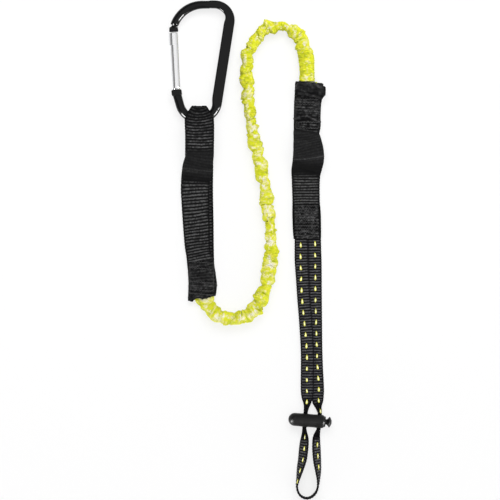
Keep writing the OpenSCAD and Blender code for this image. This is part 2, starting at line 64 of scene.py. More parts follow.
camera_data = bpy.data.cameras.new("photo_camera")
camera_data.sensor_fit = "AUTO"
camera_data.sensor_width = SENSOR
camera_data.lens = LENS
camera_data.clip_end = 20
camera = bpy.data.objects.new("photo_camera", camera_data)
camera.location = (CAMERA_X, CAMERA_Y, SHARP_HEIGHT + max(PHOTO_W, PHOTO_H) * PIXEL * LENS / SENSOR)
bpy.context.scene.collection.objects.link(camera)
bpy.context.scene.camera = camera
bpy.context.view_layer.update()
print("camera height in m:", round(camera.location.z, 3))

# %% [markdown]
# ## Image points
#
# These are places in the photograph, in pixels of its 500 by 500 frame. They settle the camera and are
# measured again at the end.

# %% Points seen in the photograph
PHOTO_POINTS = {
    "left_side": (168.2, None),
    "right_side": (331.7, None),
    "top_side": (None, 0.4),
    "bottom_side": (None, 498.8),
    "nose_head": (173.4, 30.2),
    "gate_foot": (175.9, 89.4),
    "strap_fold_middle": (199.5, 106.2),
    "strap_end_left_corner": (188.4, 300.5),
    "strap_end_right_corner": (214.0, 295.6),
    "cuff_left_corner": (295.6, 84.5),
    "cuff_right_corner": (325.3, 88.0),
    "first_left_dash": (300.3, 245.0),
    "first_right_dash": (315.7, 243.7),
    "lock_left_end": (288.3, 419.3),
    "button_tip": (331.7, 422.0),
    "first_strap_seam": (200.0, 262.3),
    "first_box_row": (307.8, 99.4),
    "first_tack_row": (306.5, 205.8),
    "first_loop_dash": (304.3, 436.8),
    "far_loop_dash": (318.2, 445.0),
}


def to_pixels(points):
    """Where points in metres fall in the photograph: sideways and upward share of the depth, times the lens."""
    inverse = np.array(camera.matrix_world.inverted())
    seen = np.asarray(points, float) @ inverse[:3, :3].T + inverse[:3, 3]
    scale = max(PHOTO_W, PHOTO_H) * LENS / SENSOR / -seen[:, 2]
    return np.column_stack([PHOTO_W / 2 + seen[:, 0] * scale, PHOTO_H / 2 - seen[:, 1] * scale])


def photo_ray(x, y):
    """The ray through an image point: x and y from the middle of the frame, and the lens in pixels ahead."""
    longest = max(PHOTO_W, PHOTO_H)
    across = x - PHOTO_W / 2 + camera_data.shift_x * longest
    upward = PHOTO_H / 2 - y + camera_data.shift_y * longest
    way = camera.matrix_world.to_3x3() @ Vector((across, upward, -longest * LENS / SENSOR))
    return camera.matrix_world.translation, way.normalized()


def place_on(tree, x, y):
    """Where the ray through an image point first meets a surface. On a miss it is the place of the surface
    that lies nearest the ray, looked for at steps of 0.5 mm through the object's height."""
    eye, way = photo_ray(x, y)
    spot = tree.ray_cast(eye, way)[0]
    if spot is None:
        steps = [eye + way * ((eye.z - z) / -way.z) for z in np.arange(0, 14 * MM, 0.5 * MM)]
        spot = min((tree.find_nearest(step) for step in steps), key=lambda near: near[3])[0]
    return np.array(spot)


def plan_y(name, height):
    """The y at which the ray through a named point passes a height, for a row that runs from side to side."""
    eye, way = photo_ray(*PHOTO_POINTS[name])
    return (eye + way * ((eye.z - height) / -way.z)).y


# %% [markdown]
# ## Shapes as arrays
#
# Every new piece is a surface with two parameters: one runs along the piece and one runs round it. A
# profile is carried along a path, all points are worked out at once, and one function turns the grid
# into a closed mesh. Webbing could be a plane with a Solidify modifier, but then its ribs and its
# selvedges couldn't be shaped apart.

# %% Paths and frames
def smooth_path(points, step):
    """Rows one step apart along the curve through the given rows. Between two rows the curve is the cubic
    whose slope at each end is half of the way from the row before to the row after. Only the first three
    columns count as distance, so widths and rolls may follow in more columns."""
    p = np.asarray(points, float)
    p = np.vstack([2 * p[0] - p[1], p, 2 * p[-1] - p[-2]])
    t = np.linspace(0, 1, 33)[:-1, None, None]
    a, b, c, d = p[:-3], p[1:-2], p[2:-1], p[3:]
    curve = 0.5 * (2 * b + (c - a) * t + (2 * a - 5 * b + 4 * c - d) * t**2 + (3 * b - a - 3 * c + d) * t**3)
    return even_steps(np.vstack([curve.transpose(1, 0, 2).reshape(-1, p.shape[1]), p[-2]]), step)


def even_steps(curve, step):
    """Rows one step apart along straight lines between the given rows."""
    run = distance(curve)
    even = np.linspace(0, run[-1], max(2, round(run[-1] / step) + 1))
    return np.column_stack([np.interp(even, run, column) for column in curve.T])


def distance(path):
    """Distance walked along a path at each of its points."""
    steps = np.linalg.norm(np.diff(path[:, :3], axis=0), axis=1)
    return np.concatenate([[0], np.cumsum(steps)])


def unit(vectors):
    """Each row divided by its length."""
    return vectors / np.linalg.norm(vectors, axis=1)[:, None]


def travel(path):
    """Unit direction of travel at each point of a path."""
    return unit(np.gradient(path[:, :3], axis=0))


def plan_frame(path):
    """For a path that lies on the table: the direction to its right, and straight up."""
    way = travel(path)
    right = unit(np.column_stack([way[:, 1], -way[:, 0], np.zeros(len(way))]))
    return right, np.tile([0.0, 0.0, 1.0], (len(way), 1))


def ease(t):
    """Smooth step: 0 before t = 0, 1 after t = 1, and 3t^2 - 2t^3 between."""
    t = np.clip(t, 0, 1)
    return t * t * (3 - 2 * t)


def zone(values, *rows):
    """A table read along the piece: pairs of a place in mm and a value, joined by straight lines."""
    places, heights = np.array(rows, float).T
    return np.interp(values / MM, places, heights)


DRIFT_WAVES = 9


def drift(along, around, seed, pitch, lobes):
    """Smooth noise near -1 to 1: the sum of sine waves of random slope. Each runs about one pitch along the
    piece and a whole number of times round it, so that it closes on itself."""
    rng = np.random.default_rng(seed)
    total = 0
    for _ in range(DRIFT_WAVES):
        rate = 2 * np.pi / pitch * rng.uniform(0.35, 1.25)
        turns = rng.integers(-lobes, lobes + 1)
        total = total + np.sin(rate * along + turns * around + rng.uniform(0, 2 * np.pi))
    return total / np.sqrt(DRIFT_WAVES / 2) / 1.6


def lumps_of(run, place, seed, pitch, lanes):
    """Uneven bumps from -1 to 1: random heights on a net of knots, joined by eased curves. The net has one
    knot per pitch along the piece and the given number of lanes across it."""
    heights = np.random.default_rng(seed).uniform(-1, 1, (int(run.max() / pitch) + 3, lanes + 2))
    along, across = run / pitch, (np.clip(place, -1, 1) + 1) / 2 * lanes
    i, j = np.floor(along).astype(int), np.floor(across).astype(int)
    s, t = ease(along - i), ease(across - j)
    near = heights[i, j] * (1 - t) + heights[i, j + 1] * t
    far = heights[i + 1, j] * (1 - t) + heights[i + 1, j + 1] * t
    return near * (1 - s) + far * s


def mixed_lumps(run, place, *layers):
    """Bumps of several sizes together. Each layer is a share, a seed, a pitch in mm and a number of lanes."""
    return sum(share * lumps_of(run, place, seed, pitch * MM, lanes) for share, seed, pitch, lanes in layers)


def bell(offset, width):
    """A bell curve of the distance to a line: 1 on the line, and 0.37 one width away from it."""
    return np.exp(-((offset / width) ** 2))


# %% Grids into meshes
def make_mesh(name, points, faces, soft_angle=40, attributes=None):
    """A mesh object at the origin, from points in metres and faces, smooth below the given angle."""
    mesh = bpy.data.meshes.new(name)
    mesh.from_pydata(np.asarray(points).reshape(-1, 3).tolist(), [], faces)
    mesh.polygons.foreach_set("use_smooth", np.ones(len(mesh.polygons), bool))
    mesh.update()
    mesh.set_sharp_from_angle(angle=np.radians(soft_angle))
    for key, values in (attributes or {}).items():
        flat = np.asarray(values, np.float32)
        vector = flat.ndim == points.ndim and flat.shape[-1] == 3
        layer = mesh.attributes.new(key, "FLOAT_VECTOR" if vector else "FLOAT", "POINT")
        layer.data.foreach_set("vector" if vector else "value", flat.ravel())
    piece = bpy.data.objects.new(name, mesh)
    bpy.context.scene.collection.objects.link(piece)
    return piece


def grid_faces(rows, around, first):
    """Quads between neighbouring rings of a grid, and one flat cap at each end. Seen along the path, the
    rings run clockwise, so that all faces point outwards."""
    i, j = np.meshgrid(np.arange(rows - 1), np.arange(around), indexing="ij")
    k = (j + 1) % around
    quads = np.stack([i * around + j, i * around + k, (i + 1) * around + k, (i + 1) * around + j], axis=-1)
    start = np.arange(around)[::-1] + first
    end = np.arange(around) + (rows - 1) * around + first
    return (quads.reshape(-1, 4) + first).tolist() + [start.tolist(), end.tolist()]


def closed_grid(name, points, soft_angle, attributes=None):
    """One closed piece from a grid of points with rows along it and columns round it."""
    return make_mesh(name, points, grid_faces(*points.shape[:2], 0), soft_angle, attributes)


def joined_grids(name, grids, soft_angle, attributes=None):
    """One piece from several closed grids, such as a row of stitches."""
    points = np.concatenate([grid.reshape(-1, 3) for grid in grids])
    faces, first = [], 0
    for grid in grids:
        faces += grid_faces(*grid.shape[:2], first)
        first += grid.shape[0] * grid.shape[1]
    return make_mesh(name, points, faces, soft_angle, attributes)


# %% [markdown]
# ## The gathered sleeve
#
# A flat lime tube of woven polyester is sewn over a stretched elastic. When the elastic is let go, the
# tube gathers into soft puffs with sharp creases between them. Cloth simulation could do this, but its
# puffs come out at random and it is slow. Here the radius of a tube is a formula: puffs of three sizes,
# each a power of a sine whose phase wanders along the cord and round it, and random bumps among them.

# %% Route of the sleeve
SLEEVE_Z = 5.4 * MM
SLEEVE_ROUTE = [
    (-34.6, -38.6), (-33.4, -42.4), (-29.4, -46.8), (-23.6, -50.2), (-16.6, -51.8), (-9.2, -51.8),
    (-2.4, -49.6), (3.4, -44.6), (7.8, -37.8), (11.0, -30.2), (13.4, -22.2), (15.0, -13.8),
    (15.8, -4.6), (16.0, 5.2), (15.6, 15.2), (14.4, 25.6), (12.9, 36.2), (11.1, 46.8),
    (9.0, 57.4), (6.8, 68.0), (4.6, 78.6), (2.5, 89.4), (0.7, 100.2), (-0.9, 110.8),
    (-2.2, 121.4), (-2.8, 132.0), (-2.5, 142.0), (-0.5, 151.2), (3.6, 159.2), (9.8, 165.6),
    (17.6, 169.4), (25.6, 169.8), (32.6, 166.6), (37.6, 160.6), (41.0, 152.6), (42.8, 144.4),
    (43.3, 136.0), (43.3, 127.9),
]
sleeve_path = smooth_path([(x * MM, y * MM, SLEEVE_Z) for x, y in SLEEVE_ROUTE], 0.33 * MM)

# %% Measures of the gathers
SLEEVE_WIDTHS = np.array([
    # distance in mm and width in mm, read off the photograph along the sleeve
    (0, 14.4), (4, 13.2), (8, 12.4), (14, 11.8), (20, 11.8), (24, 10.3), (32, 11.6), (40, 10.5), (52, 10.3),
    (56, 12.0),
    (64, 10.6), (74, 11.2), (84, 10.8), (88, 9.3), (95, 10.1), (100, 8.4), (108, 8.9), (116, 8.8),
    (124, 8.6), (132, 11.6),
    (137, 8.6), (144, 8.5), (148, 9.3), (160, 11.2), (167, 9.7), (173, 11.0), (179, 9.4), (184, 7.9),
    (189, 10.6), (195, 8.7),
    (200, 11.4), (204, 8.3), (208, 11.8), (213, 11.6), (219, 8.6), (225, 11.0), (232, 10.3), (240, 10.3),
    (248, 8.8), (252, 9.9),
    (260, 9.7), (267, 9.3), (272, 11.4), (277, 7.8), (283, 7.6), (288, 9.9), (296, 10.1), (301, 10.7),
    (308, 12.0), (313, 12.0),
    (320, 11.3), (325, 11.2), (330, 11.8), (336, 12.0),
])
# How much pale cream lies along the sleeve by distance in mm, as stretched cloth and as painted sheen.
SLEEVE_PALE = (
    (0, 0.85), (20, 1.0), (32, 0.95), (60, 0.85), (70, 0.45), (80, 0.85), (98, 0.7), (118, 0.3),
    (134, 0.65), (158, 0.6),
    (168, 0.2), (186, 0.5), (226, 0.35), (264, 0.2), (294, 0.05), (318, 0.08), (336, 0),
)
SLEEVE_SPOTS = (0.9, 19, 3.4, 3), (0.7, 20, 1.5, 6), (0.6, 29, 0.8, 10)
SLEEVE_LANES = 92
TUCKED = 7.0 * MM
CALM_END = 26 * MM
LARGE_PUFF, SMALL_PUFF, FINE_PUFF = 8.1 * MM, 3.3 * MM, 1.35 * MM


# %% The gathers

def puffs(run, angle, pitch, power, *wanders):
    """Rows of puffs from 0 to 1: a power of the sine of the distance over their pitch. Noise is added to the
    phase, and each wander is its amount, its seed, its length in mm and its lobes."""
    phase = run / pitch
    for amount, seed, length, lobes in wanders:
        phase = phase + amount * drift(run, angle, seed, length * MM, lobes)
    return np.abs(np.sin(np.pi * phase)) ** power


def gathered_sleeve(path):
    """Rings round the path. Half the measured width is the outer reach, and large, small and fine puffs hang
    from it. Bumps and flares swell the cloth, it is calmer towards the tool strap, and both ends are
    flattened where they enter their straps."""
    run = distance(path)[:, None]
    along, to_end = run - TUCKED, run[-1] - run
    angle = np.linspace(0, 2 * np.pi, SLEEVE_LANES, endpoint=False)[None, :]
    across, upward = np.cos(angle), -np.sin(angle)
    near_start = 1 - ease(along / (9 * MM))
    near_end = ease((12 * MM - to_end) / (8 * MM))
    calm = ease((CALM_END - to_end) / (10 * MM))

    large = puffs(run, angle, LARGE_PUFF, 0.6, (0.34, 11, 26, 1), (0.17, 12, 9, 2))
    small = puffs(run, angle, SMALL_PUFF, 0.8, (0.55, 13, 15, 2), (0.34, 14, 5, 3))
    fine = puffs(run, angle, FINE_PUFF, 1, (0.35, 15, 7, 3))
    large_dent = (large - 1) * np.clip(0.8 + 0.45 * drift(run, angle, 16, 14 * MM, 1), 0.2, 1.5)
    small_dent = (small - 1) * np.clip(0.75 + 0.5 * drift(run, angle, 17, 8 * MM, 2), 0.1, 1.5)
    flare = np.clip(drift(run, angle, 18, 10 * MM, 2) - 0.75, 0, 1) * 2.4
    reach = np.interp(along / MM, *SLEEVE_WIDTHS.T) / 2
    dents = 1.6 * large_dent * (1 - 0.8 * calm) + 0.62 * small_dent * (1 - 0.45 * calm)
    swell = 0.12 + (1.1 * lumps_of(run, across, 30, 5.2 * MM, 2) + flare * small) * (1 - calm)
    ripple = (0.16 + 0.30 * calm) * (fine - 0.5)
    hollow = 2.3 * bell(along - 7 * MM, 4.5 * MM) * np.clip(across, 0, 1) ** 2
    radius = (reach + dents + swell + ripple - hollow) * MM

    under_strap = 1 - ease((along + 1.5 * MM) / (5 * MM))
    flat = (1 - 0.66 * near_start - 0.25 * near_end) * (1 - 0.42 * under_strap)
    right, up = plan_frame(path)
    centre = path - up * MM * (2.6 * near_start + 1.2 * near_end)
    points = centre[:, None] + right[:, None] * (radius * across)[..., None]
    points = points + up[:, None] * (radius * flat * upward)[..., None]
    points[..., 2] = np.maximum(points[..., 2], 0.15 * MM)

    # Painted shade: crest is low in the dents, and there the finish paints the cloth olive.
    crest = np.clip(1.02 + 0.5 * large_dent + 0.52 * small_dent + 0.30 * (fine - 0.6), 0, 1)
    amount = zone(along, *SLEEVE_PALE)
    spots = 0.85 * mixed_lumps(run, across, *SLEEVE_SPOTS)
    patches = 0.8 * amount * lumps_of(run, across, 40, 5.5 * MM, 2)
    # Painted sheen highlight: the pale cream is strongest on the upper and lower faces and fades towards the sides.
    facing = 0.05 + 0.95 * np.abs(upward) ** 1.44
    pale = np.clip(0.66 * amount + spots + patches - 0.08, 0, 1) * facing * (0.65 + 0.35 * small)
    straight = np.stack([radius * across, run + 0 * angle, -radius * upward], axis=-1)
    return points, {"crest": crest, "pale_and_sheen": 0.6 * pale + 0.4 * ease(pale), "straight": straight}


tucked_start = sleeve_path[0] - travel(sleeve_path)[0] * TUCKED
sleeve_line = even_steps(np.vstack([tucked_start, sleeve_path]), 0.34 * MM)
sleeve_points, sleeve_marks = gathered_sleeve(sleeve_line)
sleeve = closed_grid("gathered_sleeve", sleeve_points, 80, sleeve_marks)
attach(sleeve, "lanyard")
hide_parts("elastic_sleeve", "elastic_core")
print("sleeve triangles:", 2 * len(sleeve.data.polygons))

# %% [markdown]
# ## Finishes
#
# Each finish is a small tree of nodes on one Principled shader. Numbers that are the same everywhere sit
# on the shader's own sockets. What changes over a piece is read from attributes that the shapes carry,
# such as how high a thread lies, so a pattern follows the cloth and never swims. Some of them paint
# light and shade: light on rib crests and puffs, shade in valleys and creases, and sheen highlights.

# %% Helpers for node trees
class Signal:
    """What a node gives. Signals are added and multiplied like numbers, each time by one Math node."""

    def __init__(self, socket):
        self.socket, self.tree = socket, socket.id_data

    def calculate(self, operation, *others):
        """The result of one Math node."""
        return Signal(add_node(self.tree, "ShaderNodeMath", [self, *others], operation=operation).outputs[0])

    def __add__(self, other):
        return self.calculate("ADD", other)

    def __mul__(self, other):
        return self.calculate("MULTIPLY", other)

    def spread(self, *limits):
        """From low and high to a new low and high, along a straight line that ends at both."""
        return Signal(add_node(self.tree, "ShaderNodeMapRange", [self, *limits], clamp=True).outputs[0])

    def waves(self, pitch):
        """The sine of a distance, with one wave to each pitch."""
        return (self * (2 * np.pi / pitch)).calculate("SINE")


def feed(node, key, value):
    """Sets one input: a node's output is linked to it, and a number or a colour becomes its value."""
    source = getattr(value, "socket", value)
    if isinstance(source, bpy.types.NodeSocket):
        node.id_data.links.new(source, node.inputs[key])
    elif value is not None:
        node.inputs[key].default_value = value


def add_node(tree, kind, inputs=(), **settings):
    """A node of that kind, with its settings and its first inputs."""
    node = tree.nodes.new(kind)
    for key, value in settings.items():
        setattr(node, key, value)
    for index, value in enumerate(inputs):
        feed(node, index, value)
    return node


def finish(name, **sockets):
    """A new material with its Principled shader, whose sockets are set by their names."""
    material = bpy.data.materials.new(name)
    material.use_nodes = True
    shader = material.node_tree.nodes["Principled BSDF"]
    for key, value in sockets.items():
        feed(shader, key.replace("_", " "), value)
    return material, shader


def attribute(shader, name, output="Fac"):
    """What a named attribute of the mesh gives to a shader."""
    return Signal(add_node(shader.id_data, "ShaderNodeAttribute", attribute_name=name).outputs[output])


def object_place(shader):
    """The place on the piece, in metres."""
    return Signal(add_node(shader.id_data, "ShaderNodeTexCoord").outputs["Object"])


def part_of(place, index):
    """One coordinate of a place: 0, 1 and 2 are x, y and z."""
    return Signal(add_node(place.tree, "ShaderNodeSeparateXYZ", [place]).outputs[index])


def blend_colours(factor, low, high):
    """A colour between low and high."""
    mix = add_node(factor.tree, "ShaderNodeMix", [factor], data_type="RGBA")
    feed(mix, 6, low)
    feed(mix, 7, high)
    return Signal(mix.outputs[2])


def noise(place, scale, detail=2.0, roughness=0.5):
    """Noise about 0.5 at a place, with so many patches to the metre."""
    node = add_node(place.tree, "ShaderNodeTexNoise", [place, None, scale, detail, roughness])
    return Signal(node.outputs["Fac"])


def raise_surface(shader, height, amount):
    """Bump: height 1 stands this many metres above height 0."""
    bump = add_node(shader.id_data, "ShaderNodeBump")
    for key, value in (("Strength", 1.0), ("Distance", amount), ("Height", height)):
        feed(bump, key, value)
    feed(shader, "Normal", bump.outputs["Normal"])


# %% Lime polyester
def lime_polyester():
    """Painted shade as olive in the creases, lime on the puffs, and cream where the cloth is stretched pale and as
    a painted sheen highlight, with a fine weave.
    """
    material, shader = finish(
        "lime_polyester", Roughness=0.75, Specular_IOR_Level=0.12, Sheen_Weight=0.03, Sheen_Roughness=0.4,
    )
    place = attribute(shader, "straight", "Vector")
    crest, pale_and_sheen = attribute(shader, "crest"), attribute(shader, "pale_and_sheen")
    speck = noise(place, 1500, 3.0, 0.6)
    # Painted shade: olive where the crest attribute is low, in the creases.
    body = blend_colours(crest, (0.25, 0.32, 0.003, 1), (0.68, 0.72, 0.014, 1))
    body = blend_colours(noise(place, 420, 3.0).spread(0.42, 0.68, 0.0, 0.7), body, (0.80, 0.74, 0.03, 1))
    # Cream is partly pale stretched cloth and partly a painted sheen highlight.
    cream = blend_colours(pale_and_sheen.calculate("POWER", 2.0), (0.88, 0.80, 0.42, 1), (0.87, 0.83, 0.88, 1))
    pale_sheen_mix = (pale_and_sheen * speck.spread(0.38, 0.62, 0.15, 1.45)).calculate("MINIMUM", 1.0)
    feed(shader, "Base Color", blend_colours(pale_sheen_mix, body, cream))
    raise_surface(shader, part_of(place, 1).waves(0.55 * MM) * 0.3 + speck * 1.5, 0.16 * MM)
    return material


lime = lime_polyester()
sleeve.data.materials.append(lime)


# %% Black webbing
def black_web(name, valley, crest):
    """Painted light and shade: grey as painted light on the rib crests and near black as painted shade in the
    valleys, with yarns that run lengthwise over them.
    """
    material, shader = finish(
        name, Roughness=0.92, Specular_IOR_Level=0.03, Sheen_Weight=0.02, Sheen_Roughness=0.5,
    )
    place = attribute(shader, "lay", "Vector")
    fuzz = noise(place, 2600, 3.0, 0.6)
    broken = noise(place, 900).spread(0.3, 0.7, 0.55, 1.4)
    # The rib attribute paints light on the crests and shade in the valleys.
    lit = attribute(shader, "rib").calculate("POWER", 2.6) * (fuzz * 0.9 + 0.55) * broken
    feed(shader, "Base Color", blend_colours(lit * (noise(place, 420) + 0.5), valley, crest))
    raise_surface(shader, part_of(place, 0).waves(0.62 * MM) * 0.35 + fuzz * 1.2, 0.07 * MM)
    return material


# Each pair: a painted shade colour for the valleys, and a painted light colour for the rib crests.
strap_black = black_web("strap_black", (0.0028, 0.0028, 0.0031, 1), (0.092, 0.092, 0.093, 1))
loop_black = black_web("loop_black", (0.0028, 0.0026, 0.0036, 1), (0.094, 0.094, 0.098, 1))


# %% From a mesh to a piece
def dress(piece, body, slot, material, *nodes):
    """Lets a piece move with its body, stand for its CAD nodes and wear its finish."""
    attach(piece, body)
    if nodes:
        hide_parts(*nodes)
    piece.data.materials.append(material)
    print(piece.name, "triangles:", sum(len(face.vertices) - 2 for face in piece.data.polygons))
    return piece

# %% [markdown]
# ## Ribbed webbing
#
# The straps are flat woven bands whose weft makes ribs from side to side. One section runs round the
# band: two flat faces and two half-round selvedges. The ribs are real relief, because they catch the
# light at every angle. Their height is also kept on the points, so the finish can paint light on their
# crests and shade in their valleys.

# %% A band and its ribs
WEB_T = 1.6 * MM
RIB_RELIEF = 0.42 * MM
STRAP_PITCH = 2.28 * MM
SELVEDGE_STEPS = 6
WIDE_LANES = 46, 20
EAST = np.array([1.0, 0.0, 0.0])


def band_ring(top_lanes, under_lanes):
    """The outline of a band, clockwise as seen along it: place on the face from -1 to 1, and the outward
    direction, which turns through half a circle at each selvedge."""
    right_turn = np.linspace(90, -90, SELVEDGE_STEPS + 2)[1:-1]
    left_turn = np.linspace(270, 90, SELVEDGE_STEPS + 2)[1:-1]
    faces = [np.linspace(-1, 1, top_lanes + 1), np.linspace(1, -1, under_lanes + 1)]
    place = np.concatenate([faces[0], np.ones(SELVEDGE_STEPS), faces[1], -np.ones(SELVEDGE_STEPS)])
    turns = [np.full(top_lanes + 1, 90.0), right_turn, np.full(under_lanes + 1, -90.0), left_turn]
    angle = np.radians(np.concatenate(turns))
    return place, np.cos(angle), np.sin(angle)


def band_points(path, across, width, thickness, ring, relief, bend=0.0, shift=0.0):
    """Centre + across x (place x half the flat width + outward x half the thickness) + face x the same.
    Relief stands out of the surface, bend moves both faces together, and shift moves points along."""
    place, out_across, out_face = ring
    way = travel(path)
    across = unit(across - way * np.sum(across * way, axis=1)[:, None])
    half = thickness / 2 + relief
    side = (width - thickness) / 2 * place + half * out_across
    points = path[:, None, :3] + way[:, None] * (shift + 0 * side)[..., None]
    points = points + across[:, None] * side[..., None]
    points = points + np.cross(across, way)[:, None] * (half * out_face + bend)[..., None]
    points[..., 2] = np.maximum(points[..., 2], 0.02 * MM)
    return points


def rib_crest(along, place, pitch, seed, skew=0.0, sag=0.0):
    """Height of the ribs from 0 to 1: a power of the sine of the distance along. Skew tilts them, sag lets
    their middle hang back, and a little drift makes them uneven."""
    wander = 0.06 * pitch * drift(along, 3 * place, seed, 12 * pitch, 1)
    phase = (along + skew * place + sag * (1 - place**2) + wander) / pitch
    return np.abs(np.sin(np.pi * phase)) ** 1.3


def selvedge(place):
    """1 over the web, and lower at its two edges."""
    return 1 - 0.6 * np.abs(place) ** 14


def worn_ribs(crest, strength, run, place, seed):
    """Ribs of a given strength, roughened by wear and lower at the selvedges."""
    wear = 0.10 * drift(run, 2.2 * place, seed + 1, 4 * MM, 2) + 0.34 * lumps_of(run, place, seed + 7, 1.1 * MM, 21)
    return np.clip(crest * strength * (1 + wear), 0, 1.2) * selvedge(place)


def sewn_lumps(run, place, seed):
    """Cloth that stands up between stitches, in lumps of 1.5 and 0.8 mm."""
    return mixed_lumps(run, place, (0.6, seed + 2, 1.5, 11), (0.5, seed + 3, 0.8, 22))


def seam_rows(y, rows, width):
    """1 on each sewn row and 0 away from it."""
    return sum(bell(y - row * MM, width) for row in rows)


def lay_of(run, place, width, out_face):
    """Coordinates in metres that stay with the cloth: across, along, and which face."""
    across = place * width / 2 + 0 * run
    return np.stack([across, run + 0 * across, out_face * MM + 0 * across], axis=-1)


def web_piece(name, points, rib, run, width, ring, node):
    """A band as a piece that stands for its CAD node, with the painted light and shade of its ribs and its lay kept
    on the points.
    """
    marks = {"rib": np.clip(rib, 0, 1), "lay": lay_of(run, ring[0], width, ring[2])}
    return dress(closed_grid(name, points, 60, marks), "lanyard", "black_webbing", strap_black, node)


# %% [markdown]
# ## Carabiner strap
#
# One band lies flat, climbs over the carabiner's rod, turns back round it and runs home underneath. It is
# pinched where it turns, so its edges draw in and cup. The widths come from the photograph, where the
# upper run lies a little to the left of the lower one.

# %% Course of the carabiner strap
FOLD_Y = 102.7 * MM
FOLD_Z = 6.5 * MM
FOLD_R = 5.7 * MM
FOLD_STEPS = 11

upper_edges = MM * np.array([
    # y, left, right, height of the middle of the web
    (-37.0, -47.0, -26.6, 4.7), (-33.0, -47.0, -25.6, 4.8), (-26.8, -46.9, -25.1, 4.8),
    (-20.7, -46.8, -25.8, 4.8), (-15.4, -47.3, -26.6, 4.8), (-10.5, -47.9, -27.4, 4.7),
    (-6.5, -48.4, -28.4, 3.7), (-2.5, -48.9, -29.6, 2.7), (3.6, -49.9, -30.3, 2.4),
    (14.0, -50.8, -30.5, 2.4), (25.0, -51.6, -30.7, 2.4), (36.0, -52.3, -30.8, 2.4),
    (45.4, -52.8, -30.8, 2.4), (52.0, -52.6, -30.4, 2.5), (58.3, -52.0, -29.4, 3.7),
    (62.5, -51.4, -28.6, 5.3), (66.2, -50.3, -27.9, 7.0), (69.2, -49.2, -27.6, 8.4),
    (72.5, -48.6, -27.3, 9.8), (76.5, -48.8, -27.2, 11.1), (80.6, -49.0, -27.1, 11.9),
    (86.0, -49.2, -27.0, 12.2), (94.0, -49.5, -27.0, 12.2), (102.7, -49.7, -27.5, 12.2),
])


def from_edges(edges):
    """Rows of centre x, y, height and width from rows of y, left, right and height."""
    y, left, right, height = edges.T
    return np.column_stack([(left + right) / 2, y, height, right - left])


turn = np.radians(np.linspace(75, -75, FOLD_STEPS))
fold_rows = np.column_stack([
    np.full(FOLD_STEPS, -38.6 * MM), FOLD_Y + FOLD_R * np.cos(turn), FOLD_Z + FOLD_R * np.sin(turn),
    np.full(FOLD_STEPS, 21.8 * MM),
])
lower_rows = MM * np.array([
    (-38.6, 102.7, 0.85, 21.8), (-38.6, 90, 0.82, 21.8), (-38.7, 70, 0.82, 21.8), (-39.0, 45, 0.82, 21.9),
    (-38.4, 20, 0.82, 21.6), (-37.9, 0, 0.82, 21.0), (-37.2, -15, 0.82, 20.7), (-36.2, -27, 0.82, 21.6),
    (-36.8, -37.0, 0.82, 20.4),
])
strap_rows = smooth_path(np.vstack([from_edges(upper_edges), fold_rows, lower_rows]), 0.27 * MM)
print("carabiner strap, length of web in mm:", round(distance(strap_rows)[-1] / MM))

# %% Measures of the carabiner strap
# Each table is read at y in mm. Ribs and tone run from 0 to 1, and the other three are in mm. From y 50
# to 78 the web climbs towards the fold and faces away from the light: its tone there is painted shade,
# and its weak ribs paint less light.
STRAP_SEAMS = plan_y("first_strap_seam", 4.8 * MM) / MM - np.array([0, 4.6, 15.0, 21.2, 24.2])
STRAP_RIBS = (
    (-40, 0.25), (-9, 0.3), (-6.5, 0.86), (12, 0.96), (50, 1), (53, 0.2), (74, 0.2), (77.5, 0.92),
    (90, 0.84), (97, 0.74), (103, 0.6), (110, 0.5),
)
STRAP_SHADE_TONE = (
    (-9, 0), (50, 0), (53.5, 0.28), (58, 0.38), (60.5, 0.54), (62.5, 0.40), (66, 0.36), (69, 0.42),
    (74, 0.38), (78, 0),
)
STRAP_SKEW = (-12, -0.1), (-6, 0), (0, 0.2), (5, 0.6), (14, 1.05), (45, 0.5), (60, 0), (110, 0)
STRAP_SAG = (60, 0), (80, 0.4), (97, 1.5), (104, 2.4)
STRAP_STRETCH = (5, -0.1), (20, 0.2), (50, 0.3), (70, 0)
STRAP_CRUMPLED = (50, 0), (60, 1), (66, 1), (76, 0)
PINCH_REACH = 13.5 * MM
SEWN_TO = -8.5 * MM
RIDGE_AT = -27.6 * MM
SEAM_TILT = 0.8 * MM


# %% Carabiner strap

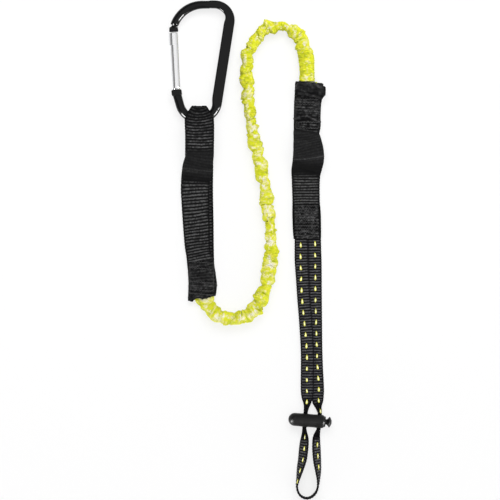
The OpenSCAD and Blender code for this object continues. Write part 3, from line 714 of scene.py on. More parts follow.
def carabiner_strap(rows, seed):
    """The band with its ribs. Near the turn its width shrinks by an eased curve of the distance from the
    fold's apex, its edges cup inwards by the square of their place, and lengthwise pleats appear. Its sewn
    end is lumpy between the seams, droops at its corners, lies askew and is frayed."""
    run, y = distance(rows)[:, None], rows[:, 1:2]
    apex = run[np.argmax(y)]
    upper = run < apex
    ring = band_ring(*WIDE_LANES)
    place, _, out_face = ring
    pinch = 1 - ease(np.abs(run - apex) / PINCH_REACH)
    width = rows[:, 3:4] * (1 - 0.46 * pinch)

    strength = np.where(upper, zone(y, *STRAP_RIBS), 0.85)
    skew, sag = upper * zone(y, *STRAP_SKEW) * MM, upper * zone(y, *STRAP_SAG) * MM
    pitch = STRAP_PITCH + upper * zone(y, *STRAP_STRETCH) * MM
    ribs_before = np.concatenate([[[0]], np.cumsum(np.diff(run, axis=0) / pitch[1:], axis=0)])
    slant = 3.0 * MM * place * (1 - ease((run - 0.5 * MM) / (16 * MM))) * upper
    crest = rib_crest(ribs_before + slant / pitch, place, 1.0, seed, -skew / pitch, sag / pitch)
    rib = worn_ribs(crest, strength, run, place, seed)

    sewn = (1 - ease((y - SEWN_TO) / (3 * MM))) * (out_face > 0) * upper
    lumps = sewn_lumps(run, place, seed)
    seams = seam_rows(y + SEAM_TILT * place, STRAP_SEAMS, 0.7 * MM)
    ridge = bell(y + SEAM_TILT * place - RIDGE_AT, 1.1 * MM)
    relief = RIB_RELIEF * (rib - 0.5 * strength) + sewn * MM * (0.16 * lumps - 0.30 * seams + 0.25 * ridge)

    cup = 0.35 * MM * pinch * (place**2 - 0.3) + 0.10 * MM * pinch * np.cos(3.5 * np.pi * place)
    crumple = 0.5 * MM * upper * zone(y, *STRAP_CRUMPLED) * drift(run, 2.0 * place, seed + 4, 16 * MM, 2)
    droop = -2.0 * MM * upper * zone(y, (-12, 1), (-6, 0)) * np.abs(place) ** 5
    fray = 1.7 * MM * lumps_of(0 * run, place, seed + 5, MM, 13) * (1 - ease(run / (1.6 * MM)))
    lower_end = ease((run - run[-1] + 10 * MM) / (10 * MM))
    shift = slant + fray - 2.6 * MM * place * lower_end
    points = band_points(rows, EAST, width, WEB_T, ring, relief, cup + crumple + droop, shift)

    # Painted light and shade: light on the ribs, the sewn lumps and the ridge, and painted shade in the tone over
    # the climb and in the seam grooves.
    patch = 0.82 + 0.3 * crest + 0.10 * drift(run, 2 * place, seed + 6, 6 * MM, 2)
    painted_light_shade = np.maximum(rib, upper * zone(y, *STRAP_SHADE_TONE) * patch)
    painted_light_shade = painted_light_shade + sewn * (0.32 + 0.30 * lumps - 0.18 * seams + 0.18 * ridge)
    return web_piece("carabiner_webbing", points, painted_light_shade, run, width, ring, "carabiner_strap")


carabiner_web = carabiner_strap(strap_rows, 21)

# %% [markdown]
# ## Tool strap
#
# The second strap is two layers. The upper layer bulges in the middle, because it is a little longer
# than the one below, and it is sewn flat at both ends. Its mouth is hemmed outwards over the sleeve.

# %% Course of the tool strap's upper layer
front_edges = MM * np.array([
    # y, left, right, height of the middle of the web
    (8.6, 33.1, 54.2, 3.9), (15.0, 32.5, 54.2, 3.9), (26.4, 32.1, 54.0, 3.8), (32.5, 32.1, 53.5, 3.4),
    (36.5, 32.1, 53.3, 2.7), (41.6, 32.0, 53.2, 2.5), (50.0, 31.7, 53.2, 2.6), (55.5, 31.5, 53.5, 3.3),
    (59.1, 31.3, 54.0, 4.5), (62.0, 31.6, 54.8, 6.0), (64.4, 31.9, 55.4, 7.4), (67.0, 32.2, 56.0, 8.6),
    (69.7, 32.4, 56.3, 9.2), (73.0, 32.6, 56.2, 9.3), (76.2, 32.7, 55.8, 9.0), (79.6, 32.7, 55.0, 8.0),
    (83.4, 32.8, 54.0, 6.6), (86.5, 32.9, 53.0, 5.6), (89.0, 32.9, 52.6, 5.0), (91.5, 33.0, 53.3, 4.8),
    (95.0, 33.1, 53.9, 4.8), (100.0, 33.2, 53.8, 4.8), (106.0, 33.3, 54.0, 4.8), (112.3, 33.5, 54.4, 4.8),
    (118.0, 33.9, 55.4, 4.8), (126.8, 34.2, 56.0, 4.8),
])
front_rows = smooth_path(from_edges(front_edges), 0.27 * MM)

# %% Measures of the upper layer
# As before, each table is read at y in mm, and ribs and tone run from 0 to 1. Over the bulge the ribs
# are weak and the tone is painted light and shade: darker where the web faces away from the light, and
# lighter on its top.
TACK_ROWS = plan_y("first_tack_row", 3.4 * MM) / MM - 2.5 * np.arange(10)
BOX_ROWS = plan_y("first_box_row", 4.8 * MM) / MM - np.array([0, 3.6, 7.8, 17.4, 21.8])
PALE_ROWS = 112.8, 111.6, 108.0, 105.4
FRONT_PITCH = 2.14 * MM
FRONT_RIBS = (
    (8, 0.35), (33, 0.35), (35.5, 1), (54, 1), (57.5, 0.5), (60, 0.1), (66, 0.3), (72, 0.3), (76, 0.2),
    (88, 0.2), (90, 0.6), (97, 0.6), (99, 0.5), (128, 0.4),
)
FRONT_LIGHT_SHADE_TONE = (
    (54, 0), (57, 0.3), (60, 0.22), (64, 0.24), (66.5, 0.34), (68.2, 0.44), (71.4, 0.46), (73.5, 0.46),
    (84, 0.46), (89, 0.46), (91, 0.3), (93, 0.2), (98, 0.3), (104, 0.35), (128, 0.3),
)
FRONT_SKEW = (55, 0), (62, 2.0), (74, 2.2), (84, 0.6), (90, 0)
FRONT_DROOP = (28, 1.1), (36, 0.3), (52, 0), (88, 0), (93, 1.2), (100, 2.0)
FRONT_BULGE = (56, 0), (61, -1), (65, 0), (69, 0.4), (74, 0)
FRONT_CRUMPLED = (56, 0), (64, 1), (82, 1), (90, 0)
TACKED_FROM, TACKED_TO, BOXED_FROM = 7.6 * MM, 34.6 * MM, 90.5 * MM
CREASE_AT, PEAK_AT = 69.2 * MM, 101.6 * MM


# %% Upper layer of the tool strap

def tool_strap_front(rows, seed):
    """Ribs by zone: tacked and boxed rows at the ends, plain ribs beside the bulge, and a bulge whose ribs are
    stretched nearly flat, with one thin crease over it. Sewn rows are grooves, each a bell curve of the
    distance to its line, and the cloth between them stands up in lumps."""
    run, y = distance(rows)[:, None], rows[:, 1:2]
    ring = band_ring(*WIDE_LANES)
    place, _, out_face = ring
    top = (out_face > 0) * 1.0
    strength = zone(y, *FRONT_RIBS)
    crest = rib_crest(run, place, FRONT_PITCH, seed, -zone(y, *FRONT_SKEW) * MM)
    rib = worn_ribs(crest, strength, run, place, seed)

    tack = ease((TACKED_TO - y) / (1.5 * MM)) * ease((y - TACKED_FROM) / MM) * top * (np.abs(place) < 0.88)
    beads = lumps_of(run, place, seed + 8, 1.1 * MM, 16)
    tack_rows = seam_rows(y, TACK_ROWS, 0.6 * MM)
    boxed = ease((y - BOXED_FROM) / (2 * MM)) * top
    lumps = sewn_lumps(run, place, seed)
    box_rows = seam_rows(y, BOX_ROWS, 0.7 * MM)
    pale_rows = seam_rows(y + 0.5 * MM * place, PALE_ROWS, 0.55 * MM)
    peak = PEAK_AT - MM * (4.9 * np.maximum(place, 0) + 1.7 * np.maximum(-place, 0))
    ridge = bell(y - peak, 0.7 * MM) - 0.8 * bell(y - peak + 2.2 * MM, MM)
    # The crease is real relief with a painted highlight along it.
    crease = bell(y - CREASE_AT - 2.0 * MM * place, 0.38 * MM) * top * (0.7 + 0.3 * lumps)
    sewn = tack * (0.16 * beads - 0.26 * tack_rows) + boxed * (0.22 * lumps - 0.24 * box_rows + 0.40 * ridge)
    relief = RIB_RELIEF * (rib - 0.5 * strength) + MM * (sewn + 0.22 * crease)

    bulge = zone(y, *FRONT_BULGE) * (0.4 + 0.6 * np.cos(1.4 * (place + 0.3)))
    crumple = 0.35 * zone(y, *FRONT_CRUMPLED) * drift(run, 2.0 * place, seed + 4, 18 * MM, 2)
    droop = zone(y, *FRONT_DROOP) * np.abs(place) ** 5
    fray = 0.3 * MM * drift(22 * MM * place, 0 * run, seed + 5, 1.8 * MM, 0) * (1 - ease(run / (1.2 * MM)))
    width = rows[:, 3:4]
    points = band_points(rows, EAST, width, WEB_T, ring, relief, MM * (0.9 * bulge + crumple - droop), fray)

    # Painted light and shade: light on the ribs, lumps, beads and ridge, a painted tone over the bulge, painted
    # shade in the sewn rows, and a painted highlight on the crease.
    patch = 0.84 + 0.28 * crest + 0.08 * drift(run, 2 * place, seed + 6, 6 * MM, 2)
    box_light_and_shade = 0.10 + 0.40 * lumps - 0.14 * box_rows + 0.34 * ridge + 0.24 * pale_rows
    painted_light_shade = np.maximum(rib, zone(y, *FRONT_LIGHT_SHADE_TONE) * patch)
    painted_light_shade = painted_light_shade + tack * (0.40 + 0.5 * beads - 0.30 * tack_rows) + boxed * box_light_and_shade + 0.5 * crease
    return web_piece("tool_strap_upper_web", points, painted_light_shade, run, width, ring, "tool_strap_front")


front_web = tool_strap_front(front_rows, 31)

# %% Lower layer of the tool strap
back_edges = MM * np.array([
    (8.9, 33.2, 54.1, 0.82), (26.4, 32.6, 53.6, 0.82), (50, 32.4, 53.0, 0.82), (70, 33.2, 53.6, 0.82),
    (90, 33.4, 52.6, 0.82), (112, 33.8, 54.0, 0.82), (127.6, 34.6, 55.4, 0.82),
])


def tool_strap_back(rows, seed):
    """A band of even ribs without sewing, since little more than its edge shows."""
    run, width = distance(rows)[:, None], rows[:, 3:4]
    ring = band_ring(36, 18)
    place = ring[0]
    rib = 0.85 * rib_crest(run, place, STRAP_PITCH, seed) * selvedge(place)
    points = band_points(rows, EAST, width, WEB_T, ring, 0.22 * MM * (rib - 0.7))
    # Its rib height paints light on the crests and shade in the valleys.
    web_piece("tool_strap_lower_web", points, rib, run, width, ring, "tool_strap_back")


tool_strap_back(smooth_path(from_edges(back_edges), 0.36 * MM), 41)

# %% Hem at the mouth
hem_rows = MM * np.array([
    (45.6, 124.6, 5.5, 20.8), (45.9, 126.0, 5.6, 21.4), (46.1, 126.9, 6.0, 21.9), (46.1, 127.0, 6.8, 22.4),
    (46.1, 126.2, 7.3, 22.9), (46.0, 124.0, 7.4, 23.0), (45.9, 121.2, 7.2, 23.1), (45.7, 118.9, 6.9, 23.1),
    (45.5, 117.7, 6.6, 22.9), (45.4, 116.9, 6.3, 22.6),
])
HEM_T = 1.5 * MM


def hem(rows):
    """A short band folded outwards over the mouth and puckered by its seam. Its upper edge follows a table of
    the place across, its left corner is pulled in, and its right side is cut away below."""
    rows = smooth_path(rows, 0.24 * MM)
    run, width = distance(rows)[:, None], rows[:, 3:4]
    ring = band_ring(*WIDE_LANES)
    place, _, out_face = ring
    lumps = mixed_lumps(run, place, (0.6, 43, 2.2, 7), (0.4, 44, 1.0, 16))
    seam = bell(run - run[-1] + 2.3 * MM - 0.4 * MM * lumps, 0.6 * MM)
    relief = MM * (0.20 * lumps - 0.4 * seam) * (out_face > 0) * (1 - place**6)
    droop = -0.35 * MM * np.abs(place) ** 6 + 0 * run
    points = band_points(rows, EAST, width, HEM_T, ring, relief, droop)
    wave = 0.25 * drift(11 * MM * place, 0 * run, 45, 6 * MM, 0) * (1 - place**4)
    lean = np.interp(place, [-1, -0.6, 0.1, 0.6, 1.0], [0.0, 0.3, -0.4, -1.9, -4.0])
    corner = np.interp(place, [-1, -0.94, -0.8], [-2.0, -0.9, 0])
    lean, corner = lean * zone(run, (0, 1), (5, 1), (13, 0.3)), corner * zone(run, (0, 1), (6, 1), (12, 0))
    points[..., 1] += MM * (wave + lean + corner)
    points[..., 0] -= MM * np.interp(place, [0.6, 1], [0, 2.0]) * zone(run, (10, 0), (12.6, 1))
    # Painted light on the lumps and painted shade in the seam's groove.
    painted_light_shade = 0.50 + 0.42 * lumps - 0.26 * seam
    web_piece("tool_strap_hem_web", points, painted_light_shade, run, width, ring, "tool_strap_hem")


hem(hem_rows)

# %% [markdown]
# ## Choke loop
#
# A narrow webbing runs from the tool strap through the cord lock and back. Its two legs lie side by
# side, the left one a little over the right, and both are squeezed to a cord where the lock grips them.
# Beyond the lock the loop stands half on edge. The stations start from those of the CAD source and lie a
# little nearer to the photograph.

# %% Stations of the loop: x, y, z, roll, width, thickness
LOOP_W = 10.3
LOOP_T = 1.4
LOOP_PITCH = 2.09 * MM
LOOP_LANES, TAIL_LANES = (30, 30), (26, 26)
LOCK_AT = np.array([47.2, -130.0, 5.0])
LOCK_TURN = np.radians(-4.6)
LOCK_AXIS = np.array([np.cos(LOCK_TURN), np.sin(LOCK_TURN), 0])
LOCK_SIDE = np.array([-np.sin(LOCK_TURN), np.cos(LOCK_TURN), 0])
STRAND_AT, STRAND_W, STRAND_T = 5.4, 3.6, 3.0
WAIST_HALF = 6.6


def lock_station(side, way):
    """A gathered station at the lock: to the left or right of its middle, and before or behind it."""
    return (*(LOCK_AT + STRAND_AT * side * LOCK_AXIS + WAIST_HALF * way * LOCK_SIDE), 0, STRAND_W, STRAND_T)


def stations(rows):
    """Rows of mm and degrees, whose last columns may be left out, as metres and radians."""
    full = np.array([(*row, *(0, LOOP_W, LOOP_T)[len(row) - 3:]) for row in rows], float)
    return full * [MM, MM, MM, np.pi / 180, MM, MM]


left_leg = stations([
    (39.1, 32.9, 2.3), (39.1, 20, 2.3), (39.1, 6.9, 2.5, 0, 10.5), (39.1, -2, 2.5, 0, 10.6),
    (39.2, -9, 2.4, 0, 10.6),
    (40.0, -22.5, 2.4), (40.9, -36, 2.4), (42.2, -52, 2.4), (43.3, -69, 2.4), (43.7, -80, 2.4),
    (43.7, -91, 2.5),
    (43.6, -100, 2.6), (43.6, -107, 2.8, 0, 10.2), (43.5, -112, 3.3, 0, 9.0, 1.5),
    (43.5, -116, 4.0, 0, 6.7, 1.9),
    (43.0, -119.5, 4.7, 0, 4.6, 2.5), lock_station(-1, 1),
])
right_leg = stations([
    (48.5, 32.9, 2.3), (48.7, 20, 2.2), (48.9, 6.9, 1.9, 0, 10.5), (49.0, -2, 1.2, 0, 10.8),
    (49.2, -9, 0.8, 0, 10.9),
    (49.5, -22, 0.8, 0, 10.5), (49.7, -38, 0.8), (50.0, -69, 0.8), (50.2, -80, 0.8), (50.6, -91, 0.8),
    (51.1, -100, 0.9), (51.4, -107, 1.1, 0, 10.2), (51.5, -112, 1.7, 0, 9.5), (51.5, -116, 2.7, 0, 8.4, 1.7),
    (52.1, -119.8, 4.2, 0, 5.2, 2.3), lock_station(1, 1),
])
bight = stations([
    lock_station(-1, -1), (41.4, -139.5, 5, 10, 4.6, 2.4), (41.4, -142.5, 5.0, 34, 6.8, 1.8),
    (41.2, -147, 5.1, 46, 9.4),
    (40.6, -153, 5.2, 50), (39.9, -159, 5.2, 53), (38.3, -166, 5.2, 63), (36.6, -174, 5.2, 80),
    (35.7, -179, 5.2, 88),
    (36.2, -183, 5.2, 90), (37.8, -186.2, 5.2, 90), (40.4, -188.2, 5.2, 90), (43.6, -188.8, 5.2, 90),
    (47.0, -187.6, 5.2, 90), (49.8, -184.8, 5.2, 90), (51.4, -181, 5.2, 88), (52.0, -175, 5.2, 80),
    (51.8, -168, 5.2, 66), (51.0, -160, 5.2, 55), (50.5, -152, 5.2, 52), (50.4, -146, 5.1, 48, 9.0),
    (50.8, -142, 5.0, 32, 6.4, 1.9), (51.3, -139.5, 5, 10, 4.6, 2.4), lock_station(1, -1),
])


# %% Loop webbing
def loop_grid(rows, seed):
    """A rolled band of fine ribs. Where it is narrower than its full width, the cloth that is left over
    stands up in pleats, as a cosine across the web."""
    rows = smooth_path(rows, 0.25 * MM)
    run = distance(rows)[:, None]
    right, up = plan_frame(rows)
    across = right * np.cos(rows[:, 3:4]) - up * np.sin(rows[:, 3:4])
    width, thickness = rows[:, 4:5], rows[:, 5:6]
    ring = band_ring(*LOOP_LANES)
    place, _, out_face = ring
    gathered = ease((1 - width / (LOOP_W * MM)) / 0.5)
    wear = 1 + 0.10 * drift(run, 2.2 * place, seed + 1, 3 * MM, 2) + 0.16 * lumps_of(run, place, seed + 9, MM, 9)
    rib = rib_crest(run, place, LOOP_PITCH, seed) * wear
    rib = rib * (1 - 0.55 * np.abs(place) ** 10) * (1 - 0.75 * gathered)
    pleat = 0.55 * MM * gathered * np.cos(3.2 * np.pi * place)
    points = band_points(rows, across, width, thickness, ring, 0.34 * MM * (rib - 0.5), pleat)
    # The rib attribute paints light on the crests and shade in the valleys, weaker where the web is gathered.
    marks = {"rib": np.clip(rib, 0, 1), "lay": lay_of(run, place, LOOP_W * MM, out_face)}
    return points, marks, rows, across


def loop_web(name, rows, seed, node):
    """One stretch of the loop as a piece that stands for its CAD node, with its rows and sideways directions."""
    points, marks, rows, across = loop_grid(rows, seed)
    piece = dress(closed_grid(name, points, 60, marks), "lanyard", "loop_webbing", loop_black, node)
    return piece, rows, across


left_leg_web = loop_web("choke_loop_left_web", left_leg, 51, "choke_loop_left_leg")
right_leg_web = loop_web("choke_loop_right_web", right_leg, 53, "choke_loop_right_leg")
bight_web = loop_web("choke_loop_bight_web", bight, 55, "choke_loop_bight")

# %% The two gathered strands inside the cord lock
strands = [loop_grid(stations([lock_station(side, way) for way in (1, 0, -1)]), 57 + side)[:2] for side in (-1, 1)]
waist_marks = {
    key: np.concatenate([marks[key].reshape(-1, *marks[key].shape[2:]) for _, marks in strands])
    for key in ("rib", "lay")
}
waist = joined_grids("choke_loop_waist_web", [points for points, _ in strands], 60, waist_marks)
dress(waist, "lanyard", "loop_webbing", loop_black, "choke_loop_waist")


# %% The sleeve's two flattened tails, between the layers of their straps
def sleeve_tail(name, rows, seed, node):
    """The sleeve's cloth pressed flat: a thin band whose soft folds run across it."""
    rows = smooth_path(MM * np.array(rows), 0.45 * MM)
    run, width = distance(rows)[:, None], rows[:, 3:4]
    ring = band_ring(*TAIL_LANES)
    place, _, out_face = ring
    folds = 0.5 + 0.4 * drift(run, 3 * place, seed, 5 * MM, 2) + 0.2 * drift(run, 9 * place, seed + 1, 1.6 * MM, 3)
    points = band_points(rows, EAST, width, 2.1 * MM, ring, 0.14 * MM * (folds - 0.7))
    # Painted light and shade: the fold crests are paler, and the troughs olive.
    marks = {
        "crest": np.clip(folds, 0, 1), "pale_and_sheen": np.clip(folds - 0.6, 0, 1),
        "straight": lay_of(run, place, width, out_face),
    }
    dress(closed_grid(name, points, 70, marks), "lanyard", "lime_webbing", lime, node)


carabiner_end = (-36.6, -10.7, 2.8, 14.2), (-36.6, -24, 2.8, 14.6), (-36.4, -38.2, 2.8, 14.8)
tool_end = (44.0, 100.0, 2.8, 14.2), (44.0, 114, 2.8, 14.6), (43.8, 127.5, 2.8, 14.8)
sleeve_tail("sleeve_tail_under_carabiner_strap", carabiner_end, 61, "sleeve_tail_carabiner_end")
sleeve_tail("sleeve_tail_under_tool_strap", tool_end, 63, "sleeve_tail_tool_end")

# %% [markdown]
# ## Stitches
#
# Black thread holds the straps in rows of zigzag. On the real piece each stitch is a short loop pressed
# into the web. A curve with a bevel would lie on top like wire. Here each stitch is a small closed grid
# that starts and ends under the surface and bows up between, seated by a ray cast down on the web.

# %% One stitch after another
STITCH_RINGS = 6
STITCH_SIDES = 6
STITCH_R = 0.24 * MM
STITCH_BOW = 0.30 * MM
STITCH_SUNK = 0.06 * MM
STITCH_STEP = 1.9
THREAD_TONE = 0.72
first_row = {}


def tree_of(web):
    """The faces of a piece, to cast rays on."""
    return BVHTree.FromObject(web, bpy.context.evaluated_depsgraph_get())


def sewn_row(web, holes):
    """Grids of the stitches between neighbouring needle holes: centre = start + t x (end - start) + up x
    bow x sin(pi t), with a thickness that follows the fourth root of t(1-t)."""
    tree = tree_of(web)
    pixels = to_pixels(np.column_stack([holes, np.full(len(holes), SHARP_HEIGHT)]))
    spots = np.array([place_on(tree, x, y) for x, y in pixels])
    start, end = spots[:-1], spots[1:]
    t = np.linspace(0, 1, STITCH_RINGS)[None, :, None]
    angle = np.linspace(0, 2 * np.pi, STITCH_SIDES, endpoint=False)[None, None, :, None]
    along = unit(end - start)
    side = unit(np.column_stack([along[:, 1], -along[:, 0], 0 * along[:, 0]]))
    up = np.cross(side, along)
    lift = STITCH_BOW * np.sin(np.pi * t) - STITCH_SUNK
    centre = start[:, None] + (end - start)[:, None] * t + up[:, None] * lift
    thick = STITCH_R * np.maximum(4 * t * (1 - t), 0.02) ** 0.25
    round_it = side[:, None, None] * np.cos(angle) - up[:, None, None] * np.sin(angle)
    return list(centre[:, :, None] + thick[..., None] * round_it)


def zigzag(left, right, y, step, swing, lean=0.0):
    """Needle holes from left to right, alternately above and below a line that may lean."""
    x = np.arange(left, right, step)
    side = np.where(np.arange(len(x)) % 2, swing, -swing)
    return np.column_stack([x, y + side + lean * (x - (left + right) / 2)])


def upright(x, low, high):
    """Needle holes in a straight row along the strap."""
    y = np.arange(low, high, STITCH_STEP)
    return np.column_stack([np.full(len(y), x), y])


def sewn_piece(name, web, rows, node):
    """All rows of stitches of one seam as one piece, which stands for the CAD node of that seam. It keeps how
    many points its first row has, to measure that row later."""
    grids = [grid for row in rows for grid in sewn_row(web, row * MM)]
    marks = {"rib": np.full(STITCH_RINGS * STITCH_SIDES * len(grids), THREAD_TONE)}
    first_row[name] = STITCH_RINGS * STITCH_SIDES * (len(rows[0]) - 1)
    dress(joined_grids(name, grids, 80, marks), "lanyard", "black_thread", thread_black, node)


# %% Thread
def thread_finish():
    """Bonded polyester thread: dark grey, a little glossier than the web, with a twist in its bump."""
    material, shader = finish(
        "thread_black", Base_Color=(0.022, 0.022, 0.023, 1), Roughness=0.55, Specular_IOR_Level=0.3,
    )
    place = object_place(shader)
    twist = add_node(place.tree, "ShaderNodeTexWave", [place, 2200.0, 1.5], bands_direction="DIAGONAL")
    raise_surface(shader, twist.outputs["Fac"], 0.05 * MM)
    return material


thread_black = thread_finish()

# %% Seams
strap_zigzags = [zigzag(-45.8, -27.6, y, 1.0, 0.55, -0.07) for y in STRAP_SEAMS]
strap_sides = [upright(-45.6, -33, -10), upright(-27.9, -31, -11)]
sewn_piece("carabiner_strap_seam", carabiner_web, strap_zigzags + strap_sides, "carabiner_strap_stitching")
box_zigzags = [zigzag(35.0, 52.4, y, 1.0, 0.55) for y in BOX_ROWS]
box_sides = [upright(x, 92.5, 114) for x in (34.9, 52.4)]
sewn_piece("tool_strap_box_seam", front_web, box_zigzags + box_sides, "tool_strap_box_stitching")
tack_zigzags = [zigzag(33.9, 52.4, y, 0.9, 0.5) for y in TACK_ROWS]
sewn_piece("tool_strap_tacks", front_web, tack_zigzags, "tool_strap_bar_tacks")


# %% [markdown]
# ## Tracer dashes
#
# A bright yarn comes to the face of the webbing once every few ribs. Each time it shows as a drop: a
# pointed start, a round end and a crown. They are one grid shape, placed along each leg by distance.

# %% Tracer yarn
def tracer_yarn():
    """Painted light and shade: cream as a painted highlight on the crown, lime below it, and dark olive as painted
    shade at the foot of each dash.
    """
    material, shader = finish(
        "tracer_yarn", Roughness=0.6, Specular_IOR_Level=0.3, Sheen_Weight=0.2, Sheen_Roughness=0.4,
    )
    crown = attribute(shader, "crown")
    foot = (crown * 2.2).calculate("MINIMUM", 1.0)
    top = crown.calculate("MULTIPLY_ADD", 3.0, -1.7).calculate("MAXIMUM", 0.0)
    colour = blend_colours(foot, (0.10, 0.09, 0.002, 1), (0.80, 0.77, 0.03, 1))
    feed(shader, "Base Color", blend_colours(top, colour, (1.0, 1.0, 0.72, 1)))
    raise_surface(shader, noise(object_place(shader), 3000), 0.08 * MM)
    return material


tracer_lime = tracer_yarn()

# %% Tracer dashes
DASH_PITCH = 8.53 * MM
DASH_LENGTH = 4.2 * MM
DASH_WIDTH = 2.1 * MM
DASH_RINGS = 9
DASH_SIDES = 10


def dash_grid(centre, along, across, face, length, width):
    """A drop on a grid: half its width is the root of t(1-t), weighted towards its round end, and its
    height is a share of its width."""
    t = np.linspace(0, 1, DASH_RINGS)[:, None] ** 0.85
    turn = np.linspace(0, 2 * np.pi, DASH_SIDES, endpoint=False)[None, :]
    half = np.maximum(width * np.sqrt(np.clip(t * (1 - t), 0, 1)) * (0.40 + 0.74 * t), 0.02 * MM)
    side = half * np.cos(turn)
    lift = 0.34 * half * np.sin(turn)
    lift = np.where(lift > 0, lift * 1.9, lift) + 0.06 * MM
    place = centre + along * ((t - 0.5) * length + 0 * turn)[..., None]
    # Crown is 1 on top of a dash and 0 at its foot and underside; the finish paints light and shade from it.
    crown = np.clip(np.sin(turn), 0, 1) ** 1.5 * np.sin(np.pi * np.clip(0.04 + 0.84 * t, 0, 1)) ** 1.3
    return place + across * side[..., None] + face * lift[..., None], crown


def dashes(name, web, rows, across, starts, offset, *nodes):
    """Rows of dashes on the upper face of a band. Each row starts where an image point falls on the web,
    and keeps its pitch from there. The sideways offset is read at each place."""
    tree = tree_of(web)
    run = distance(rows)
    way = travel(rows)
    face = np.cross(unit(across), way)
    rng = np.random.default_rng(len(name))
    grids, crowns = [], []
    for point, count in starts:
        spot = place_on(tree, *PHOTO_POINTS[point])
        first = run[np.argmin(np.linalg.norm(rows[:, :3] - spot, axis=1))]
        for at in first + DASH_PITCH * np.arange(abs(count)) * np.sign(count):
            i = min(np.searchsorted(run, at), len(run) - 1)
            aimed = rows[i, :3] + across[i] * np.interp(at, run, offset)
            seat = place_on(tree, *to_pixels(aimed[None])[0])
            along = unit((way[i] + across[i] * rng.normal(0, 0.08))[None])[0]
            length, width = DASH_LENGTH * rng.uniform(0.88, 1.1), DASH_WIDTH * rng.uniform(0.85, 1.1)
            grid, crown = dash_grid(seat, along, across[i], face[i], length, width)
            grids.append(grid[:, ::-1])
            crowns.append(crown[:, ::-1])
    marks = {"crown": np.concatenate([crown.ravel() for crown in crowns])}
    dress(joined_grids(name, grids, 70, marks), "lanyard", "tracer_yarn", tracer_lime, *nodes)


# Offsets in mm, positive to the band's right: down the legs by -y, and round the bight by distance.
leg_side = [zone(-web[1][:, 1], *table) * MM for web, table in (
    (left_leg_web, ((-4, 0.5), (35, 1.4), (45, 1.4), (65, 0.7), (80, 0.4), (120, 0.3))),
    (right_leg_web, ((-4, -0.6), (35, -0.1), (70, -0.7), (107, -1.0), (123, -0.6))),
)]
bight_side = zone(distance(bight_web[1]), (0, 0.3), (10, -0.9), (45, -0.9), (70, 0.9), (100, 1.1)) * MM
dashes("tracer_dashes_left", *left_leg_web, [("first_left_dash", 15)], leg_side[0], "choke_loop_tracer")
dashes("tracer_dashes_right", *right_leg_web, [("first_right_dash", 16)], leg_side[1])
dashes("tracer_dashes_bight", *bight_web, [("first_loop_dash", 5), ("far_loop_dash", -3)], bight_side)


# %% [markdown]
# ## Metal and plastic
#
# The carabiner is a bent aluminium rod, anodised black: a dark gloss with a soft, very fine grain. The
# gate is polished bright. The cord lock is moulded in a black plastic, with a faint matte texture. The
# rivet, the latch pin, the push rod and the springs keep their CAD meshes, and only their finish is new.

# %% Hard finishes
def roughen(shader, pattern, low, high):
    """Gloss that changes over the piece, with the darker part of a pattern the smoother."""
    feed(shader, "Roughness", pattern.spread(0.3, 0.7, low, high))


def black_anodised():
    """A black oxide skin: low reflection, fairly sharp, with grain in its gloss."""
    material, shader = finish("black_anodised", Base_Color=(0.003, 0.003, 0.0034, 1), Specular_IOR_Level=0.2)
    place = object_place(shader)
    roughen(shader, noise(place, 900, 3.0), 0.09, 0.16)
    raise_surface(shader, noise(place, 5000), 0.004 * MM)
    return material


def polished_metal(name, colour, low, high):
    """Bright metal with fine marks along it, so that its reflections are slightly drawn out."""
    material, shader = finish(name, Base_Color=colour, Metallic=1.0)
    place = object_place(shader)
    drawn = add_node(place.tree, "ShaderNodeMapping", [place, None, None, (1.0, 0.06, 1.0)], vector_type="POINT")
    marks = noise(Signal(drawn.outputs[0]), 2500, 3.0)
    roughen(shader, marks, low, high)
    raise_surface(shader, marks, 0.003 * MM)
    return material


def moulded_plastic():
    """Matte black nylon with a spark-eroded grain and slightly rubbed patches."""
    material, shader = finish("moulded_plastic", Specular_IOR_Level=0.2)
    place = object_place(shader)
    rubbed = noise(place, 120, 3.0)
    feed(shader, "Base Color", blend_colours(rubbed, (0.003, 0.003, 0.0034, 1), (0.008, 0.008, 0.008, 1)))
    roughen(shader, rubbed, 0.33, 0.47)
    raise_surface(shader, noise(place, 3200, 3.0), 0.03 * MM)
    return material


anodised = black_anodised()
bright_gate = polished_metal("polished_gate", (0.90, 0.90, 0.91, 1), 0.10, 0.2)
steel = polished_metal("spring_steel", (0.62, 0.62, 0.62, 1), 0.16, 0.3)
nylon = moulded_plastic()
FINISH_OF_NODE = {
    "gate_pivot_rivet": anodised, "gate_latch_pin": steel,
    "gate_spring": steel, "gate_push_rod": steel, "cord_lock_spring": steel,
}
for node, material in FINISH_OF_NODE.items():
    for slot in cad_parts[node].material_slots:
        slot.material = material
print("nodes finished:", len(FINISH_OF_NODE))

# %% [markdown]
# ## Carabiner
#
# The body is one aluminium rod, bent to a D and pressed flat along its spine. A curve with a bevel would
# keep one section all the way. Here one section is carried round the centre line, and its width, height
# and squareness change on the way: round in the bends, flat on the spine, necked and flared at the nose.

# %% Centre line of the rod
RING_CENTRE = np.array([-39.0, 99.0, 5.0])
BOTTOM_R, SPINE_R, NOSE_R = 14.7, 12.0, 23.1
BOTTOM_AT, SPINE_AT, NOSE_AT = np.array([0, 14.7]), np.array([12.2, 75.2]), np.array([3.3, 64.1])
SHANK_LEAN, SHANK_LENGTH, GATE_LEAN = np.radians(15.5), 9.2, np.radians(2.8)
NOSE_FROM_PIVOT = 51.6
FAR_MIDDLE = np.array([8.0, 87.2])
HAMMER_LENGTH = 3.4


def heading(angle):
    """Unit vector at an angle, or a row of x and a row of y for several."""
    return np.array([np.cos(angle), np.sin(angle)])


def arc(centre, radius, start, end, count):
    """Points of an arc from one angle to another."""
    return centre + radius * heading(np.linspace(start, end, count)).T


